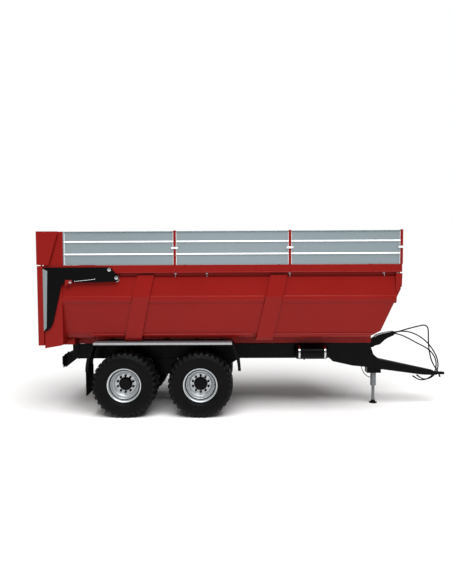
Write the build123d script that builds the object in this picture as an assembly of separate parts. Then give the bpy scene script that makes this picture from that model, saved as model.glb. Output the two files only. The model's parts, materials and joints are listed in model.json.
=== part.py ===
from build123d import *
import os
from math import atan2, cos, degrees, hypot, pi, radians, sin, sqrt, tan

# Tandem-axle tipping grain trailer, in millimetres.
# X points forwards to the drawbar, Y to the left-hand side, Z up, ground at Z = 0.
# The model is drawn with X = 0 midway between the axles and moved by BOGIE_X when it is
# written, so the kept origin lies on the ground below the middle of the whole length.

# ---- overall sizes ----
REAR_OVERHANG = 2479.0  # middle of the bogie to the rear of the tailgate extension
EYE_REACH = 6172.0  # middle of the bogie to the front of the towing eye
OVERALL_WIDTH = 2550.0
BOGIE_X = (REAR_OVERHANG - EYE_REACH) / 2
HALF_WIDTH = OVERALL_WIDTH / 2

# ---- wheels ----
AXLE_SPACING = 1550.0
TYRE_RADIUS = 667.0
TYRE_WIDTH = 600.0
TYRE_INSET = 25.0  # tyre's outer side inside the overall width
RIM_FLANGE_RADIUS = 349.0
RIM_WIDTH = 520.0
RIM_SEAT_RADIUS = 336.0
RIM_PLATE = 8.0
DISC_DEPTH = 198.0  # outer flange to the face of the wheel disc
NUT_COUNT = 10
NUT_CIRCLE_RADIUS = 167.5
HUB_CAP_RADIUS = 122.0
SPINDLE_RADIUS = 45.0
AXLE_BEAM = 150.0

# ---- chassis ----
RAIL_BOTTOM = 1100.0
RAIL_TOP = 1409.0
RAIL_CENTRE_Y = 450.0
RAIL_WIDTH = 100.0
RAIL_WALL = 10.0
RAIL_REAR = -2010.0
RAIL_FRONT = 3500.0
NECK_PLATE = 12.0
DRAWBAR_END = 5900.0
EYE_Z = 667.0
EYE_BORE_RADIUS = 25.3
EYE_RING_RADIUS = 60.0
EYE_THICKNESS = 46.0
JACK_X = 4584.0
JACK_TUBE_RADIUS = 62.0
JACK_LEG_RADIUS = 35.0
JACK_TUBE_BOTTOM = 396.0
BOGIE_PIVOT_Z = 960.0
BOGIE_PIVOT_RADIUS = 45.0
LEAF_WIDTH = 100.0
LEAF_THICKNESS = 20.0
LEAF_COUNT = 5
RESERVOIR_RADIUS = 145.0
RESERVOIR_REAR = 2760.0
RESERVOIR_FRONT = 3450.0
STRAP_INSET = 58.0
MUDGUARD_TOP = 1547.0
MUDGUARD_REAR = -1377.0
MUDGUARD_FRONT = 1423.0
MUDGUARD_INNER_Y = 650.0

# ---- tipping body ----
WALL = 5.0
BODY_REAR = -2350.0
BODY_FRONT = 4800.0
FLOOR_Z = 1600.0
CREASE_Z = 2460.0
PANEL_TOP_Z = 2864.0
TOP_RAIL_BOTTOM = 2950.0
TOP_RAIL_TOP = 3110.0
TOP_RAIL_WIDTH = 100.0
TOP_RAIL_WALL = 6.0
FLOOR_HALF_WIDTH = 1065.0
CREASE_HALF_WIDTH = 1225.0
PANEL_TOP_HALF_WIDTH = 1185.0
NECK_HALF_WIDTH = 1150.0  # half width of the upright strip under the top rail
TOP_RAIL_HALF_WIDTH = 1240.0
BOTTOM_ROUNDING = 220.0
BOARD_TOP = 3785.0
BOARD_GAP = 2.0
BOARD_THICKNESS = 25.0
POST_WIDTH = 50.0
POST_X = (286.0, 2584.0, 4800.0)
PLANK_COUNT = 3
RIB_WIDTH = 335.0
RIB_LEAN = -300.0  # how far a rib's foot lies behind its head
RIB_HEADS = (-465.0, 2206.0)
RIB_DEPTH = 42.0
HINGE_X = -1930.0
HINGE_Z = 1475.0
HINGE_PIN_RADIUS = 30.0
TUB_BEAM_WIDTH = 80.0
TUB_BEAM_BOTTOM = 1425.0
TUB_BEAM_WALL = 8.0
BEAM_FRONT = 4120.0
NOSE_FRONT = 4400.0

# ---- tipping ram ----
RAM_X = 1250.0
RAM_Z = 950.0
RAM_HEAD_Z = 1500.0
TIP_ANGLE = 50.0
RAM_STAGE_COUNT = 4
RAM_STAGE_OVERLAP = 130.0
RAM_BARREL_RADIUS = 104.0
RAM_TUBE_WALL = 9.0
RAM_RING_GAP = 5.0
RAM_BALL_RADIUS = 50.0

# ---- tailgate ----
TAILGATE_REAR = -2470.0
TAILGATE_DEPTH = 114.0
TAILGATE_BOTTOM = 1500.0
TAILGATE_TOP = 3100.0
ARM_INNER_Y = 1247.0
ARM_THICKNESS = 20.0
ARM_PIVOT = (-1022.0, 3021.0)
ARM_PIN = (-881.0, 2858.0)
ARM_PIN_RADIUS = 20.0
CYLINDER_ANCHOR = (-1808.0, 2768.0)
CYLINDER_Y = 1220.0
CYLINDER_RADIUS = 22.0
CYLINDER_ROD_RADIUS = 10.0
TAILGATE_ANGLE = 75.0
HATCH_HALF_WIDTH = 280.0
HATCH_BOTTOM = 1660.0
HATCH_TOP = 2010.0
HATCH_TRAVEL = 350.0

# ---- fits ----
RUNNING_CLEARANCE = 0.05  # radial, between a shaft and its bore
SLIDE_CLEARANCE = 1.5  # between flat sliding faces
TAILGATE_SWEEP_CLEARANCE = 9.0  # the swinging tailgate's front to the fixed cheeks
PIN_SLOT_CLEARANCE = 7.0  # round the arm's pin in the cylinder's slot
BALL_CUP_CLEARANCE = 2.0
CURVED_GAP = 0.3  # between curved faces that only lie beside each other

# ---- hoses: (x, y, z) of each route, from the carrier's mouth to the coupler ----
HOSE_RADIUS = 14.0
COUPLER_RADIUS = 20.0
COUPLER_LENGTH = 85.0
HOSE_ROUTES = {
    "hose_upper": [
        (5030, -30, 1575), (5205, -42, 1632), (5405, -62, 1692), (5585, -84, 1740), (5690, -98, 1762),
        (5757, -104, 1708), (5766, -108, 1585), (5765, -114, 1400), (5783, -118, 1190), (5830, -120, 985),
        (5905, -118, 835), (5980, -112, 745), (6008, -108, 675),
    ],
    "hose_middle": [
        (5030, 2, 1588), (5200, 4, 1614), (5400, 10, 1592), (5600, 20, 1506), (5790, 38, 1362),
        (5945, 62, 1172), (6045, 88, 985), (6080, 106, 800), (6035, 108, 655), (5945, 100, 558),
        (5820, 84, 508), (5700, 66, 520), (5632, 50, 570),
    ],
    "hose_lower": [
        (5030, 34, 1565), (5190, 44, 1530), (5370, 62, 1449), (5570, 86, 1336), (5770, 112, 1240),
        (5930, 140, 1125), (6038, 162, 960), (6062, 172, 770), (6000, 168, 610), (5890, 152, 522),
        (5750, 128, 478), (5630, 106, 496), (5562, 92, 542),
    ],
}
JACK_HOSE_RADIUS = 8.0
JACK_HOSE_ROUTE = [(4297, -60, 868), (4310, -72, 780), (4350, -82, 695), (4410, -84, 630), (4475, -68, 590), (4534, -33, 578)]


# ---- drawing helpers ----
def block(x_range, y_range, z_range):
    centre = [(low + high) / 2 for low, high in (x_range, y_range, z_range)]
    sides = [high - low for low, high in (x_range, y_range, z_range)]
    return Pos(*centre) * Box(*sides)


def rod_x(radius, x_range, y, z):
    return Pos(sum(x_range) / 2, y, z) * Rot(0, 90, 0) * Cylinder(radius, x_range[1] - x_range[0])


def rod_y(radius, y_range, x, z):
    return Pos(x, sum(y_range) / 2, z) * Rot(90, 0, 0) * Cylinder(radius, y_range[1] - y_range[0])


def rod_z(radius, z_range, x, y):
    return Pos(x, y, sum(z_range) / 2) * Cylinder(radius, z_range[1] - z_range[0])


def closed_face(points):
    """Flat face inside a closed outline; a point that repeats the one before it is dropped."""
    kept = [point for index, point in enumerate(points) if point != points[index - 1]]
    return make_face(Polyline(*kept, close=True))


def face_xz(points):
    return closed_face([(x, 0, z) for x, z in points])


def plate_xz(points, y_range):
    """Outline in X and Z, given thickness in Y."""
    face = Pos(0, y_range[0], 0) * face_xz(points)
    return extrude(face, amount=y_range[1] - y_range[0], dir=(0, 1, 0))


def plate_xy(points, z_range):
    face = closed_face([(x, y, z_range[0]) for x, y in points])
    return extrude(face, amount=z_range[1] - z_range[0], dir=(0, 0, 1))


def plate_yz(points, x_range):
    face = closed_face([(x_range[0], y, z) for y, z in points])
    return extrude(face, amount=x_range[1] - x_range[0], dir=(1, 0, 0))


def other_side(shape):
    return mirror(shape, about=Plane.XZ)


def both_sides(*shapes):
    return [*shapes, *[other_side(shape) for shape in shapes]]


def solids_of(shapes):
    return [solid for shape in shapes for solid in shape.solids()]


def write(name, *shapes):
    group = Compound(solids_of(shapes))
    export_step(Pos(BOGIE_X, 0, 0) * group, f"parts/{name}.step")


def tube(route, radius, name):
    """Round tube along straight runs and tangent arcs; prints its arcs' radii."""
    points = [Vector(*point) for point in route]
    bends = []
    for before, here, after in zip(points, points[1:], points[2:]):
        turn = (here - before).get_angle(after - here)
        shorter = min((here - before).length, (after - here).length)
        bends.append(0.45 * shorter / tan(radians(turn / 2)))
    path = FilletPolyline(*points, radius=bends)
    start = Plane(origin=path @ 0, z_dir=path % 0)
    swept = sweep(start * Circle(radius), path=path)
    share = swept.volume / (pi * radius**2 * path.length)
    print(name, "radii", [round(bend) for bend in bends], "length", round(path.length), "volume share", round(share, 4))
    return swept, path


# ---- chassis ----
def neck_form(inset, rear_extra):
    """Fabricated front of the chassis, from the rails' ends to the drawbar's root."""
    outline = face_xz([
        (RAIL_FRONT - rear_extra, RAIL_TOP), (4435, RAIL_TOP), (4536, 1125), (4686, 995), (4760, 980),
        (4760, 775), (4324, 859), (4058, 897), (3588, 1021), (3510, RAIL_BOTTOM), (RAIL_FRONT - rear_extra, RAIL_BOTTOM),
    ])
    wide = RAIL_CENTRE_Y + RAIL_WIDTH / 2
    plan = closed_face([
        (RAIL_FRONT - rear_extra, wide, 0), (RAIL_FRONT, wide, 0), (4540, 190, 0), (4760, 150, 0),
        (4760, -150, 0), (4540, -190, 0), (RAIL_FRONT, -wide, 0), (RAIL_FRONT - rear_extra, -wide, 0),
    ])
    if inset:
        outline = offset(outline, amount=-inset, kind=Kind.INTERSECTION)
        plan = offset(plan, amount=-inset, kind=Kind.INTERSECTION)
    side_view = extrude(outline, amount=HALF_WIDTH, both=True, dir=(0, 1, 0))
    top_view = extrude(plan, amount=2 * RAIL_TOP, dir=(0, 0, 1))
    return side_view & top_view


def chassis_rails():
    y_range = (RAIL_CENTRE_Y - RAIL_WIDTH / 2, RAIL_CENTRE_Y + RAIL_WIDTH / 2)
    outer = block((RAIL_REAR, RAIL_FRONT), y_range, (RAIL_BOTTOM, RAIL_TOP))
    inner = block(
        (RAIL_REAR - 1, RAIL_FRONT + 1),
        (y_range[0] + RAIL_WALL, y_range[1] - RAIL_WALL),
        (RAIL_BOTTOM + RAIL_WALL, RAIL_TOP - RAIL_WALL),
    )
    return both_sides(outer - inner)


LUG_THICKNESS = 20.0
LUG_RADIUS = 55.0


def hinge_lugs():
    """Ears welded to the rails' sides, in which the body's hinge pins turn."""
    lugs = []
    for y in (RAIL_CENTRE_Y - RAIL_WIDTH / 2 - LUG_THICKNESS, RAIL_CENTRE_Y + RAIL_WIDTH / 2):
        y_range = (y, y + LUG_THICKNESS)
        foot = block((HINGE_X - LUG_RADIUS, HINGE_X + LUG_RADIUS), y_range, (RAIL_BOTTOM + 100, HINGE_Z))
        ear = foot + rod_y(LUG_RADIUS, y_range, HINGE_X, HINGE_Z)
        bore = rod_y(HINGE_PIN_RADIUS + RUNNING_CLEARANCE, (y - 1, y + LUG_THICKNESS + 1), HINGE_X, HINGE_Z)
        lugs.append(ear - bore)
    return both_sides(*lugs)


CROSSMEMBER_X = (-1800.0, -900.0, -350.0, 350.0, 720.0, 1780.0, 2650.0, 3380.0)
CROSSMEMBER_WIDTH = 80.0
STAY_X = (-1150.0, 0.0, 1200.0)
STAY_RADIUS = 20.0
STAY_POST = 60.0
PAD_X = (-1200.0, 0.0, 2300.0, 3450.0)


def chassis_crossmembers():
    """Tubes between the rails, the mudguards' outriggers and the pads that the body rests on."""
    inside = RAIL_CENTRE_Y - RAIL_WIDTH / 2
    outside = RAIL_CENTRE_Y + RAIL_WIDTH / 2
    pieces = []
    for x in CROSSMEMBER_X:
        x_range = (x - CROSSMEMBER_WIDTH / 2, x + CROSSMEMBER_WIDTH / 2)
        outer = block(x_range, (-inside, inside), (RAIL_BOTTOM + 40, RAIL_TOP - 60))
        bore = block(
            (x_range[0] + RAIL_WALL, x_range[1] - RAIL_WALL),
            (-inside - 1, inside + 1),
            (RAIL_BOTTOM + 40 + RAIL_WALL, RAIL_TOP - 60 - RAIL_WALL),
        )
        pieces.append(outer - bore)
    sheet_underside = MUDGUARD_TOP - MUDGUARD_SHEET
    for x in STAY_X:
        post = block((x - STAY_POST / 2, x + STAY_POST / 2), (outside, outside + 12), (RAIL_TOP - 150, sheet_underside))
        arm = rod_y(STAY_RADIUS, (outside + 12, HALF_WIDTH - 75), x, sheet_underside - STAY_RADIUS - CURVED_GAP)
        pieces += both_sides(post, arm)
    for x in PAD_X:
        pad = block(
            (x - 60, x + 60),
            (RAIL_CENTRE_Y - TUB_BEAM_WIDTH / 2, RAIL_CENTRE_Y + TUB_BEAM_WIDTH / 2),
            (RAIL_TOP, TUB_BEAM_BOTTOM - 1),
        )
        pieces += both_sides(pad)
    return pieces


def neck_box():
    """Front of the chassis with the jack's mounting block below it."""
    shell = neck_form(0, 0) - neck_form(NECK_PLATE, 200)
    jack_hole = rod_z(JACK_TUBE_RADIUS + CURVED_GAP, (600, JACK_TUBE_TOP + 5), JACK_X, 0)
    mount = block((4422, 4728), (-110, 110), (692, 920)) - neck_form(0, 0)
    return [shell - jack_hole, mount - jack_hole]


DRAWBAR_ROOT = 4760.0


def drawbar_form(inset, rear_extra):
    outline = face_xz([
        (DRAWBAR_ROOT - rear_extra, 980), (DRAWBAR_ROOT, 980), (DRAWBAR_END, 737), (DRAWBAR_END, 630), (5634, 646),
        (DRAWBAR_ROOT, 775), (DRAWBAR_ROOT - rear_extra, 775),
    ])
    plan = closed_face([
        (DRAWBAR_ROOT - rear_extra, 140, 0), (DRAWBAR_ROOT, 140, 0), (DRAWBAR_END, 60, 0),
        (DRAWBAR_END, -60, 0), (DRAWBAR_ROOT, -140, 0), (DRAWBAR_ROOT - rear_extra, -140, 0),
    ])
    if inset:
        outline = offset(outline, amount=-inset, kind=Kind.INTERSECTION)
        plan = offset(plan, amount=-inset, kind=Kind.INTERSECTION)
    side_view = extrude(outline, amount=HALF_WIDTH, both=True, dir=(0, 1, 0))
    return side_view & extrude(plan, amount=2 * RAIL_TOP, dir=(0, 0, 1))


EYE_SHANK_RADIUS = 25.0
HOUSING_RADIUS = 45.0
HOUSING_FRONT = 5992.0


def drawbar():
    """Tapered drawbar with the swivel housing for the towing eye."""
    beam = drawbar_form(0, 0) - drawbar_form(NECK_PLATE, 200)
    flange = block((DRAWBAR_END, DRAWBAR_END + 16), (-60, 60), (EYE_Z - 52, EYE_Z + 58))
    housing = rod_x(HOUSING_RADIUS, (DRAWBAR_END + 16, HOUSING_FRONT), 0, EYE_Z)
    bore = rod_x(EYE_SHANK_RADIUS + RUNNING_CLEARANCE, (DRAWBAR_END + 20, HOUSING_FRONT + 1), 0, EYE_Z)
    return beam + flange + housing - bore


def towing_eye():
    """Swivelling eye: a ring for the coupling pin on a round shank."""
    ring_x = EYE_REACH - EYE_RING_RADIUS
    shank = rod_x(EYE_SHANK_RADIUS, (DRAWBAR_END + 22, ring_x - 40), 0, EYE_Z)
    collar = rod_x(38, (HOUSING_FRONT + 1, HOUSING_FRONT + 18), 0, EYE_Z)
    neck = block((HOUSING_FRONT + 18, ring_x), (-30, 30), (EYE_Z - EYE_THICKNESS / 2, EYE_Z + EYE_THICKNESS / 2))
    z_range = (EYE_Z - EYE_THICKNESS / 2, EYE_Z + EYE_THICKNESS / 2)
    ring = rod_z(EYE_RING_RADIUS, z_range, ring_x, 0)
    body = shank + collar + neck + ring
    return body - rod_z(EYE_BORE_RADIUS, (z_range[0] - 1, z_range[1] + 1), ring_x, 0)


JACK_TUBE_TOP = 880.0
JACK_FOOT_RADIUS = 86.0


def jack_housing():
    tube_body = rod_z(JACK_TUBE_RADIUS, (JACK_TUBE_BOTTOM, JACK_TUBE_TOP), JACK_X, 0)
    cavity = rod_z(JACK_TUBE_RADIUS - 9, (JACK_TUBE_BOTTOM + 30, JACK_TUBE_TOP - 10), JACK_X, 0)
    leg_hole = rod_z(JACK_LEG_RADIUS + RUNNING_CLEARANCE, (JACK_TUBE_BOTTOM - 1, JACK_TUBE_BOTTOM + 31), JACK_X, 0)
    return tube_body - cavity - leg_hole


def jack_leg():
    leg = rod_z(JACK_LEG_RADIUS, (24, 540), JACK_X, 0)
    piston = rod_z(JACK_TUBE_RADIUS - 9 - RUNNING_CLEARANCE, (500, 540), JACK_X, 0)
    plate = rod_z(JACK_FOOT_RADIUS, (0, 24), JACK_X, 0)
    plate = fillet(plate.edges().group_by(Axis.Z)[-1], 10)
    collar = Pos(JACK_X, 0, 42) * Cone(60, JACK_LEG_RADIUS + 4, 36)
    return leg + piston + plate + collar


RESERVOIR_GAP = 8.0
STRAP_WIDTH = 36.0
STRAP_THICKNESS = 5.0
RESERVOIR_Y = -(RAIL_CENTRE_Y + RAIL_WIDTH / 2 + RESERVOIR_RADIUS + RESERVOIR_GAP)
RESERVOIR_Z = 1252.0


def air_reservoir():
    tank = rod_x(RESERVOIR_RADIUS, (RESERVOIR_REAR, RESERVOIR_FRONT), RESERVOIR_Y, RESERVOIR_Z)
    tank = fillet(tank.edges().filter_by(GeomType.CIRCLE), 60)
    drain = rod_z(14, (RESERVOIR_Z - RESERVOIR_RADIUS - 22, RESERVOIR_Z - RESERVOIR_RADIUS + 20), RESERVOIR_REAR + 190, RESERVOIR_Y)
    return tank + drain


def reservoir_straps():
    straps = []
    rail_face = -(RAIL_CENTRE_Y + RAIL_WIDTH / 2)
    for x in (RESERVOIR_REAR + STRAP_INSET, RESERVOIR_FRONT - STRAP_INSET - STRAP_WIDTH):
        x_range = (x, x + STRAP_WIDTH)
        ring = rod_x(RESERVOIR_RADIUS + CURVED_GAP + STRAP_THICKNESS, x_range, RESERVOIR_Y, RESERVOIR_Z)
        lug = block(x_range, (rail_face - 60, rail_face), (RESERVOIR_Z - 90, RESERVOIR_Z + 90))
        hole = rod_x(RESERVOIR_RADIUS + CURVED_GAP, (x - 1, x + STRAP_WIDTH + 1), RESERVOIR_Y, RESERVOIR_Z)
        straps.append(ring + lug - hole)
    return straps


LAMP_BAR_HALF = 620.0


def rear_light_bar():
    """Two plates on the rails' ends that carry the rear light beam."""
    outline = [(-2010, 1285), (-2200, 1192), (-2174, 907), (-1925, RAIL_BOTTOM), (-2010, RAIL_BOTTOM)]
    outside = RAIL_CENTRE_Y + RAIL_WIDTH / 2
    plate = plate_xz(outline, (outside - 12, outside))
    beam = block((-2160, -2080), (-outside + 12, outside - 12), (1010, 1090))
    beam -= block((-2154, -2086), (-outside, outside), (1016, 1084))
    wing = block((-2184, -2178), (outside, LAMP_BAR_HALF), (930, 1180))
    web = block((-2178, -2060), (outside, outside + 8), (1000, 1120))
    return [beam, *both_sides(plate, wing, web)]


def tail_lamps():
    """Lamp cluster and reflector on each wing of the light bar."""
    y_range = (RAIL_CENTRE_Y + RAIL_WIDTH / 2 + 8, LAMP_BAR_HALF - 6)
    lamp = block((-2214, -2184), y_range, (985, 1170))
    lamp = fillet(lamp.edges().group_by(Axis.X)[0], 8)
    reflector = block((-2194, -2184), y_range, (937, 977))
    return both_sides(lamp, reflector)


MUDGUARD_SHEET = 4.0
MUDGUARD_LIP = 45.0
END_LIP = 60.0
MUDFLAP_BOTTOM = 459.0
MUDGUARD_OUTER_Y = HALF_WIDTH - TYRE_INSET


def arc_band(start, middle, end, depth):
    """Strip between an arc and the same arc moved towards its centre."""
    outer = ThreePointArc(*[(x, 0, z) for x, z in (start, middle, end)])
    centre = outer.arc_center
    inner_points = []
    for x, z in (start, middle, end):
        reach = hypot(x - centre.X, z - centre.Z)
        share = (reach - depth) / reach
        inner_points.append((centre.X + (x - centre.X) * share, 0, centre.Z + (z - centre.Z) * share))
    inner = ThreePointArc(*inner_points)
    ends = [Line(outer @ 0, inner @ 0), Line(outer @ 1, inner @ 1)]
    return make_face([outer, inner, *ends])


def mudguards():
    """Flat galvanised sheets over the wheels, with a lip turned down at the outer edge."""
    x_range = (MUDGUARD_REAR, MUDGUARD_FRONT)
    sheet = block(x_range, (MUDGUARD_INNER_Y, MUDGUARD_OUTER_Y), (MUDGUARD_TOP - MUDGUARD_SHEET, MUDGUARD_TOP))
    lip = block(x_range, (MUDGUARD_OUTER_Y - MUDGUARD_SHEET, MUDGUARD_OUTER_Y), (MUDGUARD_TOP - MUDGUARD_LIP, MUDGUARD_TOP))
    return both_sides(sheet + lip)


def mudguard_ends():
    """Curved black ends of the mudguards, and the rubber flaps behind the rear wheels."""
    pieces = []
    front = ((MUDGUARD_FRONT, MUDGUARD_TOP), (1545, 1300), (1600, 970))
    rear = ((MUDGUARD_REAR, MUDGUARD_TOP), (-1490, 1300), (-1545, 957))
    for arc in (front, rear):
        sheet = extrude(arc_band(*arc, 5), amount=MUDGUARD_OUTER_Y - MUDGUARD_INNER_Y, dir=(0, 1, 0))
        lip = extrude(arc_band(*arc, END_LIP), amount=5, dir=(0, 1, 0))
        end = Pos(0, MUDGUARD_INNER_Y, 0) * sheet + Pos(0, MUDGUARD_OUTER_Y - 5, 0) * lip
        end -= block((MUDGUARD_REAR, MUDGUARD_FRONT), (0, HALF_WIDTH), (1000, MUDGUARD_TOP + 50))
        pieces.append(end)
    flap = block((-1536, -1528), (MUDGUARD_INNER_Y + 5, MUDGUARD_OUTER_Y - 8), (MUDFLAP_BOTTOM, 1020))
    pieces[1] -= block((-1541, -1300), (MUDGUARD_INNER_Y, MUDGUARD_OUTER_Y - 5), (940, 1025))
    return both_sides(*pieces, flap)


CARRIER_HALF_WIDTH = 55.0


def hose_carrier():
    """Arm that holds the hoses up in front of the body."""
    arm = plate_xz(
        [(4470, 1409), (4600, 1487), (4995, 1616), (5040, 1608), (5040, 1548), (5010, 1518), (4880, 1460), (4810, 1412),
         (4718, 1322), (4600, 1290), (4566, 1263), (4494, 1250), (4436, 1409)],
        (-CARRIER_HALF_WIDTH, CARRIER_HALF_WIDTH),
    )
    cover = plate_xz([(4600, 1487), (4640, 1530), (4762, 1569), (4995, 1616)], (-CARRIER_HALF_WIDTH + 8, CARRIER_HALF_WIDTH - 8))
    return [arm - neck_form(0, 0), cover]


def bogie_hangers():
    """Plates under the rails with the shaft that the spring bogie rocks on."""
    outline = [(-230, RAIL_BOTTOM), (230, RAIL_BOTTOM), (230, RAIL_BOTTOM - 30), (80, BOGIE_PIVOT_Z - 40), (-80, BOGIE_PIVOT_Z - 40), (-230, RAIL_BOTTOM - 30)]
    plates = []
    for y in HANGER_Y:
        plate = plate_xz(outline, (y, y + HANGER_PLATE)) + rod_y(90, (y, y + HANGER_PLATE), 0, BOGIE_PIVOT_Z)
        plates.append(plate)
    cap = block((-230, 230), (HANGER_Y[0], HANGER_Y[1] + HANGER_PLATE), (RAIL_BOTTOM - 12, RAIL_BOTTOM))
    shaft = rod_y(BOGIE_PIVOT_RADIUS, (HANGER_Y[0] - 15, HANGER_Y[1] + HANGER_PLATE + 15), 0, BOGIE_PIVOT_Z)
    hanger = plates[0] + plates[1] + cap + shaft
    return both_sides(hanger)


HANGER_PLATE = 18.0
HANGER_Y = (RAIL_CENTRE_Y - 80.0, RAIL_CENTRE_Y + 80.0 - HANGER_PLATE)
SADDLE_HALF_WIDTH = 60.0
LEAF_CENTRE_BOTTOM = 795.0
LEAF_DROOP = 25.0
LEAF_SEAT_HALF = AXLE_SPACING / 2
PACK_TOP = LEAF_CENTRE_BOTTOM + LEAF_COUNT * LEAF_THICKNESS


def leaf_springs():
    """Stacked leaves; the longest lies at the bottom and reaches past both axles."""
    radius = (LEAF_SEAT_HALF**2 + LEAF_DROOP**2) / (2 * LEAF_DROOP)
    centre_z = LEAF_CENTRE_BOTTOM - radius
    leaves = []
    for index in range(LEAF_COUNT):
        half = LEAF_SEAT_HALF + 90 - 130 * index
        edges = []
        for level in (radius + index * LEAF_THICKNESS, radius + (index + 1) * LEAF_THICKNESS):
            drop = sqrt(level**2 - half**2)
            edges.append(ThreePointArc((-half, 0, centre_z + drop), (0, 0, centre_z + level), (half, 0, centre_z + drop)))
        ends = [Line(edges[0] @ 0, edges[1] @ 0), Line(edges[0] @ 1, edges[1] @ 1)]
        leaf = extrude(make_face([*edges, *ends]), amount=LEAF_WIDTH, dir=(0, 1, 0))
        leaves.append(Pos(0, RAIL_CENTRE_Y - LEAF_WIDTH / 2, 0) * leaf)
    return both_sides(*leaves)


SEAT_BOLT_X = 95.0


def spring_saddles():
    """Pivot saddles on the springs' middles, and the clamps that hold the axles."""
    y = RAIL_CENTRE_Y
    bore = rod_y(BOGIE_PIVOT_RADIUS + RUNNING_CLEARANCE, (y - 80, y + 80), 0, BOGIE_PIVOT_Z)
    saddle = block((-105, 105), (y - SADDLE_HALF_WIDTH + 2, y + SADDLE_HALF_WIDTH - 2), (PACK_TOP, BOGIE_PIVOT_Z))
    saddle += rod_y(62, (y - SADDLE_HALF_WIDTH + 2, y + SADDLE_HALF_WIDTH - 2), 0, BOGIE_PIVOT_Z)
    wings = [block((x - 35, x + 35), (y - 75, y + 75), (PACK_TOP, PACK_TOP + 24)) for x in (-140, 140)]
    saddle = saddle + wings[0] + wings[1] - bore
    under = block((-175, 175), (y - 75, y + 75), (LEAF_CENTRE_BOTTOM - 24 - 2, LEAF_CENTRE_BOTTOM - 2))
    pieces = [saddle, under]
    for x in (-140, 140):
        for side in (-62, 62):
            pieces.append(rod_z(9, (LEAF_CENTRE_BOTTOM - 2, PACK_TOP), x, y + side))
    axle_top = TYRE_RADIUS + AXLE_BEAM / 2
    axle_bottom = TYRE_RADIUS - AXLE_BEAM / 2
    seat_top = LEAF_CENTRE_BOTTOM - LEAF_DROOP - 6
    clamp_bottom = LEAF_CENTRE_BOTTOM + 26
    for axle in (-LEAF_SEAT_HALF, LEAF_SEAT_HALF):
        pieces.append(block((axle - 60, axle + 60), (y - 50, y + 50), (axle_top, seat_top)))
        pieces.append(block((axle - 120, axle + 120), (y - 78, y + 78), (clamp_bottom, clamp_bottom + 18)))
        pieces.append(block((axle - 120, axle + 120), (y - 78, y + 78), (axle_bottom - 18, axle_bottom)))
        for x in (axle - SEAT_BOLT_X, axle + SEAT_BOLT_X):
            for side in (-64, 64):
                pieces.append(rod_z(11, (axle_bottom, clamp_bottom), x, y + side))
    return both_sides(*pieces)


def axle_beams():
    """Square axles with a round spindle at each end."""
    beams = []
    for x in (-AXLE_SPACING / 2, AXLE_SPACING / 2):
        half = AXLE_BEAM / 2
        beam = block((x - half, x + half), (-AXLE_HALF, AXLE_HALF), (TYRE_RADIUS - half, TYRE_RADIUS + half))
        beam += rod_y(SPINDLE_RADIUS, (-SPINDLE_END, SPINDLE_END), x, TYRE_RADIUS)
        beams.append(beam)
    return beams


# ---- wheels ----
TYRE_CENTRE_Y = HALF_WIDTH - TYRE_INSET - TYRE_WIDTH / 2
FLANGE_Y = TYRE_CENTRE_Y + RIM_WIDTH / 2
DISC_Y = FLANGE_Y - DISC_DEPTH
DISC_THICKNESS = 12.0
DRUM_WIDTH = 130.0
DRUM_RADIUS = 205.0
HUB_FLANGE = 22.0
AXLE_HALF = DISC_Y - DISC_THICKNESS - HUB_FLANGE - 120 - DRUM_WIDTH - 20
SPINDLE_END = DISC_Y - 40.0
DISC_BORE_RADIUS = 140.4


def revolve_y(points):
    """Turn an outline of (radius, y) about the Y axis."""
    return revolve(closed_face([(radius, y, 0) for radius, y in points]), axis=Axis.Y)


def wheel_rim():
    outer = FLANGE_Y
    inner = FLANGE_Y - RIM_WIDTH
    seat = RIM_SEAT_RADIUS
    well = seat - 26
    lip = RIM_FLANGE_RADIUS
    t = RIM_PLATE
    barrel = [
        (lip, outer), (lip, outer - 9), (seat + 1, outer - 15), (seat, outer - 58), (well + 8, outer - 78), (well, outer - 120),
        (well, inner + 120), (seat, inner + 58), (seat + 1, inner + 15), (lip, inner + 9), (lip, inner),
        (seat - t, inner + 6), (seat - t, inner + 58), (well - t, inner + 124), (well - t, outer - 124),
        (well, outer - 80), (seat - t - 8, outer - 62), (seat - t - 2, outer - 22), (seat - t + 4, outer),
    ]
    disc_face = DISC_Y
    cone_root = disc_face + 46
    disc = [
        (DISC_BORE_RADIUS, disc_face), (215, disc_face), (262, cone_root - 14), (well - t, cone_root),
        (well - t, cone_root - DISC_THICKNESS - 4), (268, cone_root - 30), (222, disc_face - DISC_THICKNESS),
        (DISC_BORE_RADIUS, disc_face - DISC_THICKNESS),
    ]
    return revolve_y(barrel) + revolve_y(disc)


def tyre():
    """Carcass with its tread as a smooth band; hollow, open to the rim."""
    half = TYRE_WIDTH / 2
    crown = TYRE_RADIUS
    bead = RIM_WIDTH / 2
    middle = TYRE_CENTRE_Y

    def side(sign, points):
        return [(radius, middle + sign * width) for radius, width in points]

    outside = [
        (RIM_FLANGE_RADIUS + 1, bead - 10), (RIM_FLANGE_RADIUS + 3, bead + 2), (372, bead + 12), (430, half - 12), (500, half), (560, half - 2), (612, half - 9),
        (645, half - 22), (crown - 7, half - 46), (crown, half - 110),
    ]
    inside = [(RIM_SEAT_RADIUS + 16, bead - 42), (430, half - 42), (510, half - 34), (590, half - 44), (620, half - 90)]
    outline = side(1, outside) + side(-1, outside[::-1])
    cavity = side(1, inside) + side(-1, inside[::-1])
    seats = [(RIM_SEAT_RADIUS + 1 + CURVED_GAP, bead - 17), (RIM_SEAT_RADIUS + 1 + CURVED_GAP, bead - 50)]
    outline = side(1, seats[::-1]) + outline + side(-1, seats)
    cavity = [(RIM_SEAT_RADIUS - 20, middle + bead - 50)] + cavity + [(RIM_SEAT_RADIUS - 20, middle - bead + 50)]
    return revolve_y(outline) - revolve_y(cavity)


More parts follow.
